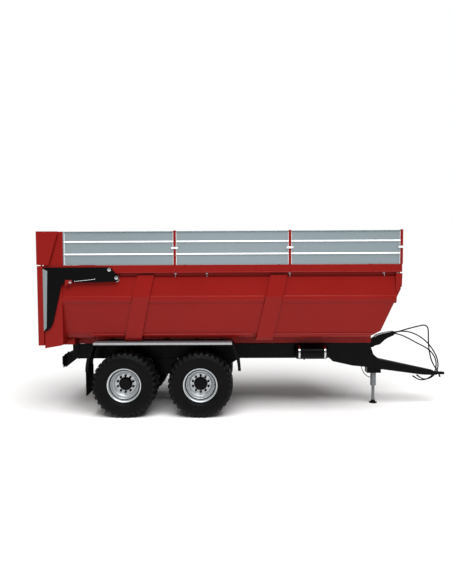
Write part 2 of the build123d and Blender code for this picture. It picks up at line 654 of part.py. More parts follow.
def wheel_hub():
    """Hub, brake drum, cap and wheel nuts."""
    disc_back = DISC_Y - DISC_THICKNESS
    flange = (disc_back - HUB_FLANGE, disc_back)
    neck = (flange[0] - 120, flange[0])
    drum = (neck[0] - DRUM_WIDTH, neck[0])
    hub = rod_y(200, flange, 0, 0) + rod_y(115, neck, 0, 0) + rod_y(DRUM_RADIUS, drum, 0, 0)
    hub -= rod_y(SPINDLE_RADIUS + RUNNING_CLEARANCE, (drum[0] - 1, SPINDLE_END + 4), 0, 0)
    cap = rod_y(HUB_CAP_RADIUS, (disc_back, DISC_Y + 62), 0, 0)
    cap = chamfer(cap.edges().group_by(Axis.Y)[-1], 14)
    pieces = [hub + cap]
    for index in range(NUT_COUNT):
        angle = 2 * pi * (index + 0.5) / NUT_COUNT
        x, z = NUT_CIRCLE_RADIUS * cos(angle), NUT_CIRCLE_RADIUS * sin(angle)
        nut = extrude(Pos(x, DISC_Y, z) * Rot(-90, 0, 0) * RegularPolygon(18, 6), amount=24)
        pieces.append(nut + rod_y(11, (DISC_Y, DISC_Y + 38), x, z))
    return pieces


def write_wheels():
    parts = {"wheel_rim": [wheel_rim()], "tyre": [tyre()], "wheel_hub": wheel_hub()}
    for place, x in (("front", AXLE_SPACING / 2), ("rear", -AXLE_SPACING / 2)):
        for name, shapes in parts.items():
            left = [Pos(x, 0, TYRE_RADIUS) * shape for shape in shapes]
            write(f"{name}_{place}_left", *left)
            write(f"{name}_{place}_right", *[other_side(shape) for shape in left])


# ---- tipping ram ----
ram_arm = hypot(RAM_X - HINGE_X, RAM_Z - HINGE_Z)
RAM_HEAD_X = HINGE_X + sqrt(ram_arm**2 - (RAM_HEAD_Z - HINGE_Z) ** 2)
ram_closed = hypot(RAM_HEAD_X - RAM_X, RAM_HEAD_Z - RAM_Z)
ram_angle = 2 * degrees(atan2(ram_closed / 2, sqrt(ram_arm**2 - (ram_closed / 2) ** 2)))
ram_open = 2 * ram_arm * sin(radians((ram_angle + TIP_ANGLE) / 2))
RAM_STAGE_TRAVEL = (ram_open - ram_closed) / RAM_STAGE_COUNT
RAM_LEAN = degrees(atan2(RAM_HEAD_X - RAM_X, RAM_HEAD_Z - RAM_Z))
RAM_STAGE_LENGTH = RAM_STAGE_TRAVEL + RAM_STAGE_OVERLAP
RAM_BARREL_TOP = ram_closed - 150
RAM_STAGE_STEP = 15.0
TRUNNION_RADIUS = 32.0
CRADLE_Y = (150.0, 175.0)


def on_ram(shape):
    """From the ram's own frame, trunnion at the origin and Z along the ram, to its place."""
    return Pos(RAM_X, 0, RAM_Z) * Rot(0, RAM_LEAN, 0) * shape


def ram_radius(stage):
    """Outer radius of a stage; stage 0 is the barrel."""
    step = RAM_TUBE_WALL + RAM_RING_GAP
    return RAM_BARREL_RADIUS - 6 - step * stage if stage else RAM_BARREL_RADIUS


def ram_bore(stage):
    return ram_radius(stage) - RAM_TUBE_WALL - (6 if stage == 0 else 0)


def ram_tube(stage, bottom, top):
    """A tube whose top gland guides the next stage and whose foot is guided by the last."""
    outer, bore = ram_radius(stage), ram_bore(stage)
    body = rod_z(outer, (bottom, top), 0, 0)
    if stage:
        body += rod_z(ram_bore(stage - 1) - RUNNING_CLEARANCE, (bottom, bottom + 30), 0, 0)
    if stage < RAM_STAGE_COUNT:
        floor = 20 if stage == 0 else 0
        body -= rod_z(bore, (bottom + floor - (stage > 0), top - 30), 0, 0)
        body -= rod_z(ram_radius(stage + 1) + RUNNING_CLEARANCE, (top - 31, top + 1), 0, 0)
    return body


def ram_parts():
    stages = []
    for stage in range(1, RAM_STAGE_COUNT + 1):
        top = RAM_BARREL_TOP + RAM_STAGE_STEP * stage
        body = ram_tube(stage, top - RAM_STAGE_LENGTH, top)
        if stage == RAM_STAGE_COUNT:
            body += rod_z(24, (top, ram_closed), 0, 0) + Pos(0, 0, ram_closed) * Sphere(RAM_BALL_RADIUS)
        stages.append(on_ram(body))
    lowest = RAM_BARREL_TOP + RAM_STAGE_STEP - RAM_STAGE_LENGTH
    barrel = ram_tube(0, lowest - 22, RAM_BARREL_TOP)
    barrel += rod_z(RAM_BARREL_RADIUS + 12, (-45, 45), 0, 0) - rod_z(RAM_BARREL_RADIUS - 1, (-46, 46), 0, 0)
    for side in (-1, 1):
        inner, outer = RAM_BARREL_RADIUS + 6, CRADLE_Y[1] + 10
        barrel += rod_y(TRUNNION_RADIUS, sorted((side * inner, side * outer)), 0, 0)
    return on_ram(barrel), stages


def ram_cradle():
    """Plates between two crossmembers; the barrel's trunnions turn in them."""
    behind = CROSSMEMBER_X[4] + CROSSMEMBER_WIDTH / 2
    ahead = CROSSMEMBER_X[5] - CROSSMEMBER_WIDTH / 2
    outline = [(behind, 1340), (ahead, 1340), (ahead, 1150), (RAM_X + 90, RAM_Z - 70), (RAM_X - 90, RAM_Z - 70), (behind, 1150)]
    plate = plate_xz(outline, CRADLE_Y)
    plate -= rod_y(TRUNNION_RADIUS + RUNNING_CLEARANCE, (CRADLE_Y[0] - 1, CRADLE_Y[1] + 1), RAM_X, RAM_Z)
    return both_sides(plate)


# ---- tipping body ----
def tub_form(inset, beyond):
    """The body's solid shape; inset for the inside, which runs beyond its open top and rear."""
    top = TOP_RAIL_BOTTOM + beyond
    half = [
        (NECK_HALF_WIDTH, top), (NECK_HALF_WIDTH, PANEL_TOP_Z + 16), (PANEL_TOP_HALF_WIDTH, PANEL_TOP_Z),
        (CREASE_HALF_WIDTH, CREASE_Z), (FLOOR_HALF_WIDTH, FLOOR_Z),
    ]
    corners = half + [(-y, z) for y, z in reversed(half)]
    rear = BODY_REAR - beyond
    section = closed_face([(rear, y, z) for y, z in corners])
    section = fillet(section.vertices().group_by(Axis.Z)[0], BOTTOM_ROUNDING)
    outline = face_xz([
        (rear, top), (BODY_FRONT, top), (BODY_FRONT, 2610), (4725, CREASE_Z), (4440, 1756), (4260, 1645), (4150, FLOOR_Z), (rear, FLOOR_Z),
    ])
    if inset:
        section = offset(section, amount=-inset, kind=Kind.INTERSECTION)
        outline = offset(outline, amount=-inset, kind=Kind.INTERSECTION)
    along = extrude(section, amount=BODY_FRONT - rear + 50, dir=(1, 0, 0))
    across = extrude(outline, amount=HALF_WIDTH, both=True, dir=(0, 1, 0))
    return along & across


def tub_shell():
    return tub_form(0, 0) - tub_form(WALL, 400)


def top_rail():
    """Box sections along both sides and across the front of the body's open top."""
    front = BODY_FRONT + 15
    inner = TOP_RAIL_HALF_WIDTH - TOP_RAIL_WIDTH
    height = (TOP_RAIL_BOTTOM, TOP_RAIL_TOP)
    bore_height = (TOP_RAIL_BOTTOM + TOP_RAIL_WALL, TOP_RAIL_TOP - TOP_RAIL_WALL)
    side = block((BODY_REAR, front), (inner, TOP_RAIL_HALF_WIDTH), height)
    side -= block((BODY_REAR - 1, front - 10), (inner + TOP_RAIL_WALL, TOP_RAIL_HALF_WIDTH - TOP_RAIL_WALL), bore_height)
    across = block((front - TOP_RAIL_WIDTH, front), (-inner, inner), height)
    across -= block((front - TOP_RAIL_WIDTH + TOP_RAIL_WALL, front - TOP_RAIL_WALL), (-inner - 1, inner + 1), bore_height)
    return [*both_sides(side), across]


def side_ribs(tub):
    """Leaning stiffeners that follow the body's side outside the sheet."""
    half = [
        (NECK_HALF_WIDTH - 60, PANEL_TOP_Z + 41), (PANEL_TOP_HALF_WIDTH + RIB_DEPTH - 14, PANEL_TOP_Z + 41),
        (CREASE_HALF_WIDTH + RIB_DEPTH, CREASE_Z + 10), (FLOOR_HALF_WIDTH + RIB_DEPTH + 8, FLOOR_Z + 30),
        (FLOOR_HALF_WIDTH - 10, FLOOR_Z - 33), (FLOOR_HALF_WIDTH - 250, FLOOR_Z - 33), (FLOOR_HALF_WIDTH - 250, FLOOR_Z + 300),
    ]
    ribs = []
    for head in RIB_HEADS:
        band = plate_yz(half, (head + RIB_LEAN - 10, head + RIB_WIDTH + 10))
        top, bottom = PANEL_TOP_Z + 60, FLOOR_Z - 40
        lean = plate_xz(
            [(head, top), (head + RIB_WIDTH, top), (head + RIB_WIDTH + RIB_LEAN, bottom), (head + RIB_LEAN, bottom)], (0, HALF_WIDTH)
        )
        solid = (band & lean) - tub
        ribs.append(max(solid.solids(), key=lambda piece: piece.volume))
    return both_sides(*ribs)


PILLAR_FRONT = -1985.0
PILLAR_FACE = 1238.0
PILLAR_WALL = 10.0
SILL_FRONT = -2250.0
CORNER_FRONT = -1840.0
CORNER_BOTTOM = 1470.0
CORNER_DEPTH = 295.0
CORNER_WALL = 6.0


def hollow_box(x_range, y_range, z_range, wall):
    """Closed box of sheet metal between the given limits."""
    spans = (x_range, y_range, z_range)
    return block(*spans) - block(*[(low + wall, high - wall) for low, high in spans])


def rear_frame(tub):
    """Hollow pillars beside the tailgate and the sill below it."""
    def pillar(inset):
        outline = face_xz([
            (BODY_REAR, 1438), (BODY_REAR, TOP_RAIL_BOTTOM), (PILLAR_FRONT, TOP_RAIL_BOTTOM), (PILLAR_FRONT, 1508), (-2030, 1492),
        ])
        if inset:
            outline = offset(outline, amount=-inset, kind=Kind.INTERSECTION)
        start = 900 if inset == 0 else 890
        return extrude(Pos(0, start, 0) * outline, amount=PILLAR_FACE - inset - start, dir=(0, 1, 0))
    side = pillar(0) - pillar(PILLAR_WALL) - tub
    side -= block((BODY_REAR - 1, PILLAR_FRONT + 1), (0, FLOOR_HALF_WIDTH - 120), (1400, 1700))
    side = max(side.solids(), key=lambda piece: piece.volume)
    sill_half = FLOOR_HALF_WIDTH - 120
    sill = block((BODY_REAR, SILL_FRONT), (-sill_half, sill_half), (FLOOR_Z - 100, FLOOR_Z))
    sill -= block((BODY_REAR + 8, SILL_FRONT - 8), (-sill_half - 1, sill_half + 1), (FLOOR_Z - 92, FLOOR_Z - 8))
    anchor_x, anchor_z = CYLINDER_ANCHOR
    bracket = plate_xz(
        [(anchor_x - 145, anchor_z + 55), (anchor_x + 27, anchor_z + 35), (anchor_x + 27, anchor_z - 30), (anchor_x - 20, anchor_z - 65),
         (anchor_x - 145, anchor_z - 40)],
        (1150, CYLINDER_Y - 12),
    ) - tub - rod_y(CYLINDER_ANCHOR_RADIUS + RUNNING_CLEARANCE, (1100, 1240), anchor_x, anchor_z)
    bracket = max(bracket.solids(), key=lambda piece: piece.center().Y)
    corner = hollow_box((SILL_FRONT, CORNER_FRONT), (sill_half - CORNER_DEPTH, sill_half), (CORNER_BOTTOM, FLOOR_Z), CORNER_WALL)
    return [sill, *both_sides(side, bracket, corner)]


def tub_beams():
    """Two beams below the floor, crossmembers, and the cup for the ram's ball."""
    y_range = (RAIL_CENTRE_Y - TUB_BEAM_WIDTH / 2, RAIL_CENTRE_Y + TUB_BEAM_WIDTH / 2)
    wall = TUB_BEAM_WALL
    beam = block((HINGE_X, BEAM_FRONT), y_range, (TUB_BEAM_BOTTOM, FLOOR_Z))
    beam -= block(
        (HINGE_X + 80, BEAM_FRONT + 1), (y_range[0] + wall, y_range[1] - wall), (TUB_BEAM_BOTTOM + wall, FLOOR_Z - wall)
    )
    beam += rod_y(60, y_range, HINGE_X, HINGE_Z)
    beam += block((HINGE_X - 60, HINGE_X), y_range, (HINGE_Z, FLOOR_Z))
    beam -= rod_y(HINGE_PIN_RADIUS + RUNNING_CLEARANCE, (y_range[0] - 1, y_range[1] + 1), HINGE_X, HINGE_Z)
    nose = plate_xz(
        [(BEAM_FRONT, TUB_BEAM_BOTTOM), (NOSE_FRONT, TUB_BEAM_BOTTOM), (NOSE_FRONT, 1730), (4260, 1644), (4150, FLOOR_Z - 1),
         (BEAM_FRONT, FLOOR_Z - 1)],
        (y_range[0], y_range[0] + wall),
    )
    pieces = both_sides(beam, nose, Pos(0, TUB_BEAM_WIDTH - wall, 0) * nose)
    pieces.append(block((NOSE_FRONT - wall, NOSE_FRONT), (-y_range[0], y_range[0]), (TUB_BEAM_BOTTOM, 1720)))
    for x in (-1500, -700, 100, 700, 2100, 2900, 3700):
        cross = block((x - 30, x + 30), (-y_range[0], y_range[0]), (FLOOR_Z - 90, FLOOR_Z))
        outrigger = block((x - 30, x + 30), (y_range[1], FLOOR_HALF_WIDTH - 260), (FLOOR_Z - 40, FLOOR_Z))
        pieces += [cross, *both_sides(outrigger)]
    seat = block((RAM_HEAD_X - 110, RAM_HEAD_X + 110), (-y_range[0], y_range[0]), (RAM_HEAD_Z + 14, FLOOR_Z))
    seat -= Pos(RAM_HEAD_X, 0, RAM_HEAD_Z) * Sphere(RAM_BALL_RADIUS + BALL_CUP_CLEARANCE)
    return [*pieces, seat]


def plank(length_range, bottom, top, outer, lip):
    """One aluminium board with a bright lip along its upper edge."""
    ledge = 40 if lip else 12
    section = [
        (outer, bottom), (outer, top - ledge - 6), (outer + 7, top - ledge), (outer + 7, top), (outer - BOARD_THICKNESS, top),
        (outer - BOARD_THICKNESS, bottom),
    ]
    return plate_yz(section, length_range)


PLANK_HEIGHT = (BOARD_TOP - TOP_RAIL_TOP - BOARD_GAP) / PLANK_COUNT
BOARD_FACE = 1226.0
BOARD_REAR = -1950.0


def side_boards():
    boards = []
    starts = [BOARD_REAR + 20] + [x + POST_WIDTH / 2 for x in POST_X[:-1]]
    ends = [x - POST_WIDTH / 2 for x in POST_X]
    for start, end in zip(starts, ends):
        for index in range(PLANK_COUNT):
            bottom = TOP_RAIL_TOP + BOARD_GAP + index * PLANK_HEIGHT
            boards.append(plank((start, end), bottom, bottom + PLANK_HEIGHT, BOARD_FACE, index < PLANK_COUNT - 1))
    end_profile = block((BOARD_REAR, BOARD_REAR + 20), (BOARD_FACE - BOARD_THICKNESS - 3, BOARD_FACE + 12), (TOP_RAIL_TOP, BOARD_TOP))
    return [*boards, end_profile]


def front_board():
    pieces = []
    half = TOP_RAIL_HALF_WIDTH - 45
    for index in range(PLANK_COUNT):
        bottom = TOP_RAIL_TOP + BOARD_GAP + index * PLANK_HEIGHT
        upright = plank((-half, half), bottom, bottom + PLANK_HEIGHT, 0, index < PLANK_COUNT - 1)
        pieces.append(Pos(BODY_FRONT + 5, 0, 0) * Rot(0, 0, -90) * upright)
    return pieces


def board_posts():
    """Posts between the boards, and the steel cheeks at their rear end."""
    y_range = (TOP_RAIL_HALF_WIDTH - 45, TOP_RAIL_HALF_WIDTH + 5)
    posts = [block((x - POST_WIDTH / 2, x + POST_WIDTH / 2), y_range, (TOP_RAIL_TOP, BOARD_TOP + 10)) for x in POST_X]
    cheek_y = (BOARD_FACE - BOARD_THICKNESS, BOARD_FACE)
    cheek = block((BODY_REAR, BOARD_REAR), cheek_y, (TOP_RAIL_TOP, BOARD_TOP))
    sweep = ARM_PIVOT[0] - (TAILGATE_REAR + TAILGATE_DEPTH) - TAILGATE_SWEEP_CLEARANCE
    cheek &= rod_y(sweep, cheek_y, *ARM_PIVOT)
    return both_sides(*posts, cheek)


def board_clamps():
    """Clamp on each post, which ties the boards' ends to it."""
    face = TOP_RAIL_HALF_WIDTH + 5
    middle = (TOP_RAIL_TOP + BOARD_TOP) / 2
    clamps = []
    for x in POST_X[:-1]:
        plate = block((x - 55, x + 55), (face, face + 8), (middle - 16, middle + 16))
        plate += rod_y(11, (face + 8, face + 20), x, middle)
        clamps.append(plate)
    corner = block((POST_X[-1] - 55, POST_X[-1] + POST_WIDTH / 2), (face, face + 8), (middle - 16, middle + 16))
    corner += rod_y(11, (face + 8, face + 20), POST_X[-1] - 15, middle)
    return both_sides(*clamps, corner)


CYLINDER_ANCHOR_RADIUS = 14.0
ARM_PIVOT_RADIUS = 28.0
ARM_CAP_RADIUS = 40.0


def pivot_pins():
    """Pins that the body turns on, and stub pins that the tailgate arms turn on."""
    hinge = rod_y(
        HINGE_PIN_RADIUS,
        (RAIL_CENTRE_Y - RAIL_WIDTH / 2 - LUG_THICKNESS - 12, RAIL_CENTRE_Y + RAIL_WIDTH / 2 + LUG_THICKNESS + 12),
        HINGE_X,
        HINGE_Z,
    )
    x, z = ARM_PIVOT
    stub = rod_y(ARM_PIVOT_RADIUS, (TOP_RAIL_HALF_WIDTH, HALF_WIDTH - 6), x, z)
    stub += rod_y(ARM_CAP_RADIUS, (HALF_WIDTH - 6, HALF_WIDTH), x, z)
    return both_sides(hinge, stub)


# ---- tailgate ----
def tailgate_panel():
    """Tray of folded sheet with upright stiffeners; the grain outlet is cut at its foot."""
    front = TAILGATE_REAR + TAILGATE_DEPTH
    sheet = 8.0
    outer = block((TAILGATE_REAR, front), (-HALF_WIDTH, HALF_WIDTH), (TAILGATE_BOTTOM, TAILGATE_TOP))
    tray = block((TAILGATE_REAR + 6, front - sheet), (-HALF_WIDTH + 6, HALF_WIDTH - 6), (TAILGATE_BOTTOM + 6, TAILGATE_TOP - 6))
    mouth = block((TAILGATE_REAR - 1, TAILGATE_REAR + 7), (-HALF_WIDTH + 90, HALF_WIDTH - 90), (TAILGATE_BOTTOM + 90, TAILGATE_TOP - 90))
    outlet = block((front - 20, front + 1), (-HATCH_HALF_WIDTH, HATCH_HALF_WIDTH), (HATCH_BOTTOM, HATCH_TOP))
    panel = outer - tray - mouth - outlet
    stiffeners = []
    for y in (420.0, 820.0):
        outside = block((TAILGATE_REAR + 20, front - sheet), (y - 40, y + 40), (TAILGATE_BOTTOM + 6, TAILGATE_TOP - 6))
        inside = block((TAILGATE_REAR + 26, front - sheet), (y - 34, y + 34), (TAILGATE_BOTTOM + 6, TAILGATE_TOP - 6))
        stiffeners.append(outside - inside)
    return [panel, *both_sides(*stiffeners)]


HATCH_PLATE = 8.0
HATCH_LAP = 30.0


def hatch_gate():
    """Sliding plate over the outlet, with its pull bar."""
    back = TAILGATE_REAR + TAILGATE_DEPTH - 8 - 2
    plate = block((back - HATCH_PLATE, back), (-HATCH_HALF_WIDTH - HATCH_LAP, HATCH_HALF_WIDTH + HATCH_LAP), (HATCH_BOTTOM - 20, HATCH_TOP + 30))
    ears = [block((back - 45, back - HATCH_PLATE), (y - 5, y + 5), (HATCH_TOP - 40, HATCH_TOP + 20)) for y in (-110, 110)]
    bar = rod_y(11, (-160, 160), back - 35, HATCH_TOP - 10)
    return plate + ears[0] + ears[1] + bar


def hatch_guides():
    """Angles that hold the gate's edges, and the sill it closes on."""
    back = TAILGATE_REAR + TAILGATE_DEPTH - 8
    edge = HATCH_HALF_WIDTH + HATCH_LAP + SLIDE_CLEARANCE
    height = (HATCH_BOTTOM - 50, HATCH_TOP + 30 + HATCH_TRAVEL + 20)
    web = block((back - 18, back), (edge, edge + 20), height)
    lip = block((back - 24, back - 18), (edge - 25, edge + 20), height)
    lip -= block((back - 19, back), (0, edge), height)
    stop = block((back - 18, back), (-edge, edge), (HATCH_BOTTOM - 50, HATCH_BOTTOM - 21))
    return [*both_sides(web + lip), stop]


def tailgate_arms():
    """Cranked side arms that carry the tailgate and lift it about the front pins."""
    outline = [
        (TAILGATE_REAR + TAILGATE_DEPTH, 3055), (-2262, 3068), (-1040, 3068), (-980, 3040), (-862, 2900), (-835, 2855), (-850, 2812), (-898, 2782),
        (-1224, 2768), (-1900, 2762), (-1985, 2730), (-2023, 2574), (-2107, 2225), (-2167, 1963), (-2224, 1853), (-2291, 1800),
        (TAILGATE_REAR + TAILGATE_DEPTH, 1790),
    ]
    arm = plate_xz(outline, (ARM_INNER_Y, ARM_INNER_Y + ARM_THICKNESS))
    x, z = ARM_PIVOT
    arm -= rod_y(ARM_PIVOT_RADIUS + RUNNING_CLEARANCE, (1200, HALF_WIDTH), x, z)
    x, z = ARM_PIN
    arm += rod_y(ARM_PIN_RADIUS, (CYLINDER_Y - 14, HALF_WIDTH - 3), x, z) + rod_y(34, (ARM_INNER_Y + ARM_THICKNESS, HALF_WIDTH), x, z)
    return both_sides(arm)


EXTENSION_BOTTOM = 3127.0
CHEEK_THICKNESS = 10.0


def tailgate_extension():
    """Raised part of the tailgate with its side cheeks, on tabs bolted to the tailgate."""
    rear = -REAR_OVERHANG
    panel = block((rear, TAILGATE_REAR), (-HALF_WIDTH, HALF_WIDTH), (EXTENSION_BOTTOM, BOARD_TOP + 5))
    cheek = plate_xz(
        [(rear, EXTENSION_BOTTOM), (rear, BOARD_TOP + 5), (-2038, BOARD_TOP + 3), (-2243, TOP_RAIL_TOP + 4), (-2440, TOP_RAIL_TOP + 8)],
        (HALF_WIDTH - CHEEK_THICKNESS, HALF_WIDTH),
    )
    for y in (-1000, -350, 350, 1000):
        panel += block((rear, TAILGATE_REAR), (y - 40, y + 40), (TAILGATE_TOP - 70, EXTENSION_BOTTOM))
    for z in (EXTENSION_BOTTOM + 20, (EXTENSION_BOTTOM + BOARD_TOP) / 2, BOARD_TOP - 45):
        panel += block((TAILGATE_REAR, TAILGATE_REAR + 40), (-HALF_WIDTH + CHEEK_THICKNESS, HALF_WIDTH - CHEEK_THICKNESS), (z, z + 40))
    panel -= cheek + other_side(cheek)
    return [panel, *both_sides(cheek)]


cylinder_dx = ARM_PIN[0] - CYLINDER_ANCHOR[0]
cylinder_dz = ARM_PIN[1] - CYLINDER_ANCHOR[1]
CYLINDER_LENGTH = hypot(cylinder_dx, cylinder_dz)
CYLINDER_SLOPE = degrees(atan2(cylinder_dz, cylinder_dx))
CYLINDER_BARREL_START = 500.0


def on_cylinder(shape):
    """From the cylinder's own frame, anchor at the origin and X along it, to its place."""
    return Pos(CYLINDER_ANCHOR[0], CYLINDER_Y, CYLINDER_ANCHOR[1]) * Rot(0, -CYLINDER_SLOPE, 0) * shape


def tailgate_cylinder_rods():
    """Rod, its eye and the anchor pin on each side of the body."""
    rod = rod_x(CYLINDER_ROD_RADIUS, (24, CYLINDER_BARREL_START + 60), 0, 0)
    rod += rod_x(CYLINDER_RADIUS - 5 - RUNNING_CLEARANCE, (CYLINDER_BARREL_START + 40, CYLINDER_BARREL_START + 60), 0, 0)
    rod += rod_y(26, (-11, 11), 0, 0)
    pin = rod_y(CYLINDER_ANCHOR_RADIUS, (-22, 20), 0, 0)
    return both_sides(on_cylinder(rod + pin))


def tailgate_cylinders():
    """Barrel of each cylinder, with the slotted end plate that the arm's pin pulls on."""
    end = CYLINDER_LENGTH - 36
    barrel = rod_x(CYLINDER_RADIUS, (CYLINDER_BARREL_START, end), 0, 0)
    barrel -= rod_x(CYLINDER_RADIUS - 5, (CYLINDER_BARREL_START + 20, end - 12), 0, 0)
    barrel -= rod_x(CYLINDER_ROD_RADIUS + RUNNING_CLEARANCE, (CYLINDER_BARREL_START - 1, CYLINDER_BARREL_START + 21), 0, 0)
    slot_low, slot_high, slot_radius, rim = -44.0, 14.0, ARM_PIN_RADIUS + PIN_SLOT_CLEARANCE, 14.0

    def stadium(radius, y_range):
        ends = [rod_y(radius, y_range, CYLINDER_LENGTH, z) for z in (slot_low, slot_high)]
        middle_part = block((CYLINDER_LENGTH - radius, CYLINDER_LENGTH + radius), y_range, (slot_low, slot_high))
        return ends[0] + ends[1] + middle_part

    plate = stadium(slot_radius + rim, (-9, 9)) - stadium(slot_radius, (-10, 10))
    return both_sides(on_cylinder(barrel + plate))


# ---- hoses ----
def write_hoses():
    """Each hose with its coupler; the tubes start at the carrier's mouth."""
    couplers = []
    for name, route in HOSE_ROUTES.items():
        swept, path = tube(route, HOSE_RADIUS, name)
        write(name, swept)
        end = Plane(origin=path @ 1, z_dir=path % 1)
        sleeve = Pos(0, 0, COUPLER_LENGTH * 0.3) * Cylinder(COUPLER_RADIUS - 3, COUPLER_LENGTH * 0.6)
        body = Pos(0, 0, COUPLER_LENGTH * 0.8) * Cylinder(COUPLER_RADIUS, COUPLER_LENGTH * 0.4)
        couplers.append(end * (sleeve + body))
    write("hose_couplers", *couplers)
    write("jack_hose", tube(JACK_HOSE_ROUTE, JACK_HOSE_RADIUS, "jack_hose")[0])


os.makedirs("parts", exist_ok=True)
tub_solid = tub_form(0, 0)
barrel, stages = ram_parts()
write("chassis_rails", *chassis_rails(), *hinge_lugs())
write("chassis_crossmembers", *chassis_crossmembers())
write("neck_box", *neck_box())
write("drawbar", drawbar())
write("towing_eye", towing_eye())
write("jack_housing", jack_housing())
write("jack_leg", jack_leg())
write("air_reservoir", air_reservoir())
write("reservoir_straps", *reservoir_straps())
write("rear_light_bar", *rear_light_bar())
write("tail_lamps", *tail_lamps())
write("mudguards", *mudguards())
write("mudguard_ends", *mudguard_ends())
write("hose_carrier", *hose_carrier())
write("bogie_hangers", *bogie_hangers())
write("leaf_springs", *leaf_springs())
write("spring_saddles", *spring_saddles())
write("axle_beams", *axle_beams())
write_wheels()
write("ram_cradle", *ram_cradle())
write("ram_barrel", barrel)
for number, stage in enumerate(stages, 1):
    write(f"ram_stage_{number}", stage)
write("tub_shell", tub_shell())
write("tub_beams", *tub_beams())
write("top_rail", *top_rail())
write("side_ribs", *side_ribs(tub_solid))
write("rear_frame", *rear_frame(tub_solid))
write("side_boards_left", *side_boards())
write("side_boards_right", *[other_side(piece) for piece in side_boards()])
write("front_board", *front_board())
write("board_posts", *board_posts())
write("board_clamps", *board_clamps())
write("pivot_pins", *pivot_pins())
write("tailgate_panel", *tailgate_panel())
write("tailgate_arms", *tailgate_arms())
write("tailgate_extension", *tailgate_extension())
write("tailgate_cylinders", *tailgate_cylinders())
write("tailgate_cylinder_rods", *tailgate_cylinder_rods())
write("hatch_gate", hatch_gate())
write("hatch_guides", *hatch_guides())
write_hoses()
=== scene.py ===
import json
import math

import bmesh
import bpy
from bpy.props import FloatProperty, FloatVectorProperty, IntProperty, PointerProperty
from mathutils import Matrix, Vector


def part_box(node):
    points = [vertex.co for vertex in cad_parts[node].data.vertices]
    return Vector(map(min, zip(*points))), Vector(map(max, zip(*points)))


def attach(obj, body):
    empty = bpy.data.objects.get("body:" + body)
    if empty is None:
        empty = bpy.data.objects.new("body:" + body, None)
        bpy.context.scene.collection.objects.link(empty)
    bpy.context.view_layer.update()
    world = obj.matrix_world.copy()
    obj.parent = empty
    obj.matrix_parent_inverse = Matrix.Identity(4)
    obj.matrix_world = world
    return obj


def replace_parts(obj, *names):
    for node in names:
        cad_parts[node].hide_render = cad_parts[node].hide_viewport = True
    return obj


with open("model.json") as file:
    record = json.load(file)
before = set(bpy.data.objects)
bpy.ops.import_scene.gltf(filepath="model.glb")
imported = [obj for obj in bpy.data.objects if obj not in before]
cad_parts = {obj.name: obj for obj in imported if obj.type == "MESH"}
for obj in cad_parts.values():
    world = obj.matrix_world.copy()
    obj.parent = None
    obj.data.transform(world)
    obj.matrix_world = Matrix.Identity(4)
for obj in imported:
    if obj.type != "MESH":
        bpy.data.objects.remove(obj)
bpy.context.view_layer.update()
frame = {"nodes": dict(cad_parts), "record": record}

bl_info = {
    "name": "Grain cart finisher",
    "version": (1, 0, 0),
    "blender": (4, 5, 0),
    "location": "3D View > Sidebar > Grain cart",
    "description": "Builds the tyres, rims, boards, hoses, trim and finishes of a tipping grain cart",
    "category": "Object",
}

# Sizes are in metres, in the cart's own frame: X forwards, Y to the left, Z up, ground at 0.
SIDES = {"right": -1.0, "left": 1.0}
WHEELS = ("front_left", "front_right", "rear_left", "rear_right")
HOSE_RADIUS = 0.014
JACK_HOSE_RADIUS = 0.008
HOSES = {
    "upper": {
        "length": 1.86,
        "points": [
            (3.1835, -0.030, 1.575), (3.3585, -0.042, 1.632), (3.5585, -0.062, 1.692),
            (3.7385, -0.084, 1.740), (3.8435, -0.098, 1.762), (3.9105, -0.104, 1.708),
            (3.9195, -0.108, 1.585), (3.9185, -0.114, 1.400), (3.9365, -0.118, 1.190),
            (3.9835, -0.120, 0.985), (4.0585, -0.118, 0.835), (4.1335, -0.112, 0.745),
            (4.1615, -0.108, 0.675),
        ],
    },
    "middle": {
        "length": 2.09,
        "points": [
            (3.1835, 0.002, 1.588), (3.3535, 0.004, 1.614), (3.5535, 0.010, 1.592), (3.7535, 0.020, 1.506),
            (3.9435, 0.038, 1.362), (4.0985, 0.062, 1.172), (4.1985, 0.088, 0.985), (4.2335, 0.106, 0.800),
            (4.1885, 0.108, 0.655), (4.0985, 0.100, 0.558), (3.9735, 0.084, 0.508), (3.8535, 0.066, 0.520),
            (3.7855, 0.050, 0.570),
        ],
    },
    "lower": {
        "length": 2.06,
        "points": [
            (3.1835, 0.034, 1.565), (3.3435, 0.044, 1.530), (3.5235, 0.062, 1.449), (3.7235, 0.086, 1.336),
            (3.9235, 0.112, 1.240), (4.0835, 0.140, 1.125), (4.1915, 0.162, 0.960), (4.2155, 0.172, 0.770),
            (4.1535, 0.168, 0.610), (4.0435, 0.152, 0.522), (3.9035, 0.128, 0.478), (3.7835, 0.106, 0.496),
            (3.7155, 0.092, 0.542),
        ],
    },
}
JACK_HOSE = [
    (2.4505, -0.060, 0.868), (2.4635, -0.072, 0.780), (2.5035, -0.082, 0.695), (2.5635, -0.084, 0.630),
    (2.6285, -0.068, 0.590), (2.6875, -0.033, 0.578),
]


# ---- mesh helpers ----
def object_from(bm, name, smooth_angle=None):
    """Turns a bmesh into a named object; edges sharper than smooth_angle stay crisp."""
    bmesh.ops.recalc_face_normals(bm, faces=bm.faces)
    mesh = bpy.data.meshes.new(name)
    if smooth_angle is not None:
        for face in bm.faces:
            face.smooth = True
        limit = math.radians(smooth_angle)
        for edge in bm.edges:
            edge.smooth = len(edge.link_faces) == 2 and edge.calc_face_angle(0) < limit
    bm.to_mesh(mesh)
    bm.free()
    thing = bpy.data.objects.new(name, mesh)
    bpy.context.collection.objects.link(thing)
    return thing


def dress(thing, body, material):
    """Gives a piece its body and its finish."""
    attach(thing, body)
    thing.data.materials.clear()
    thing.data.materials.append(material)
    return thing


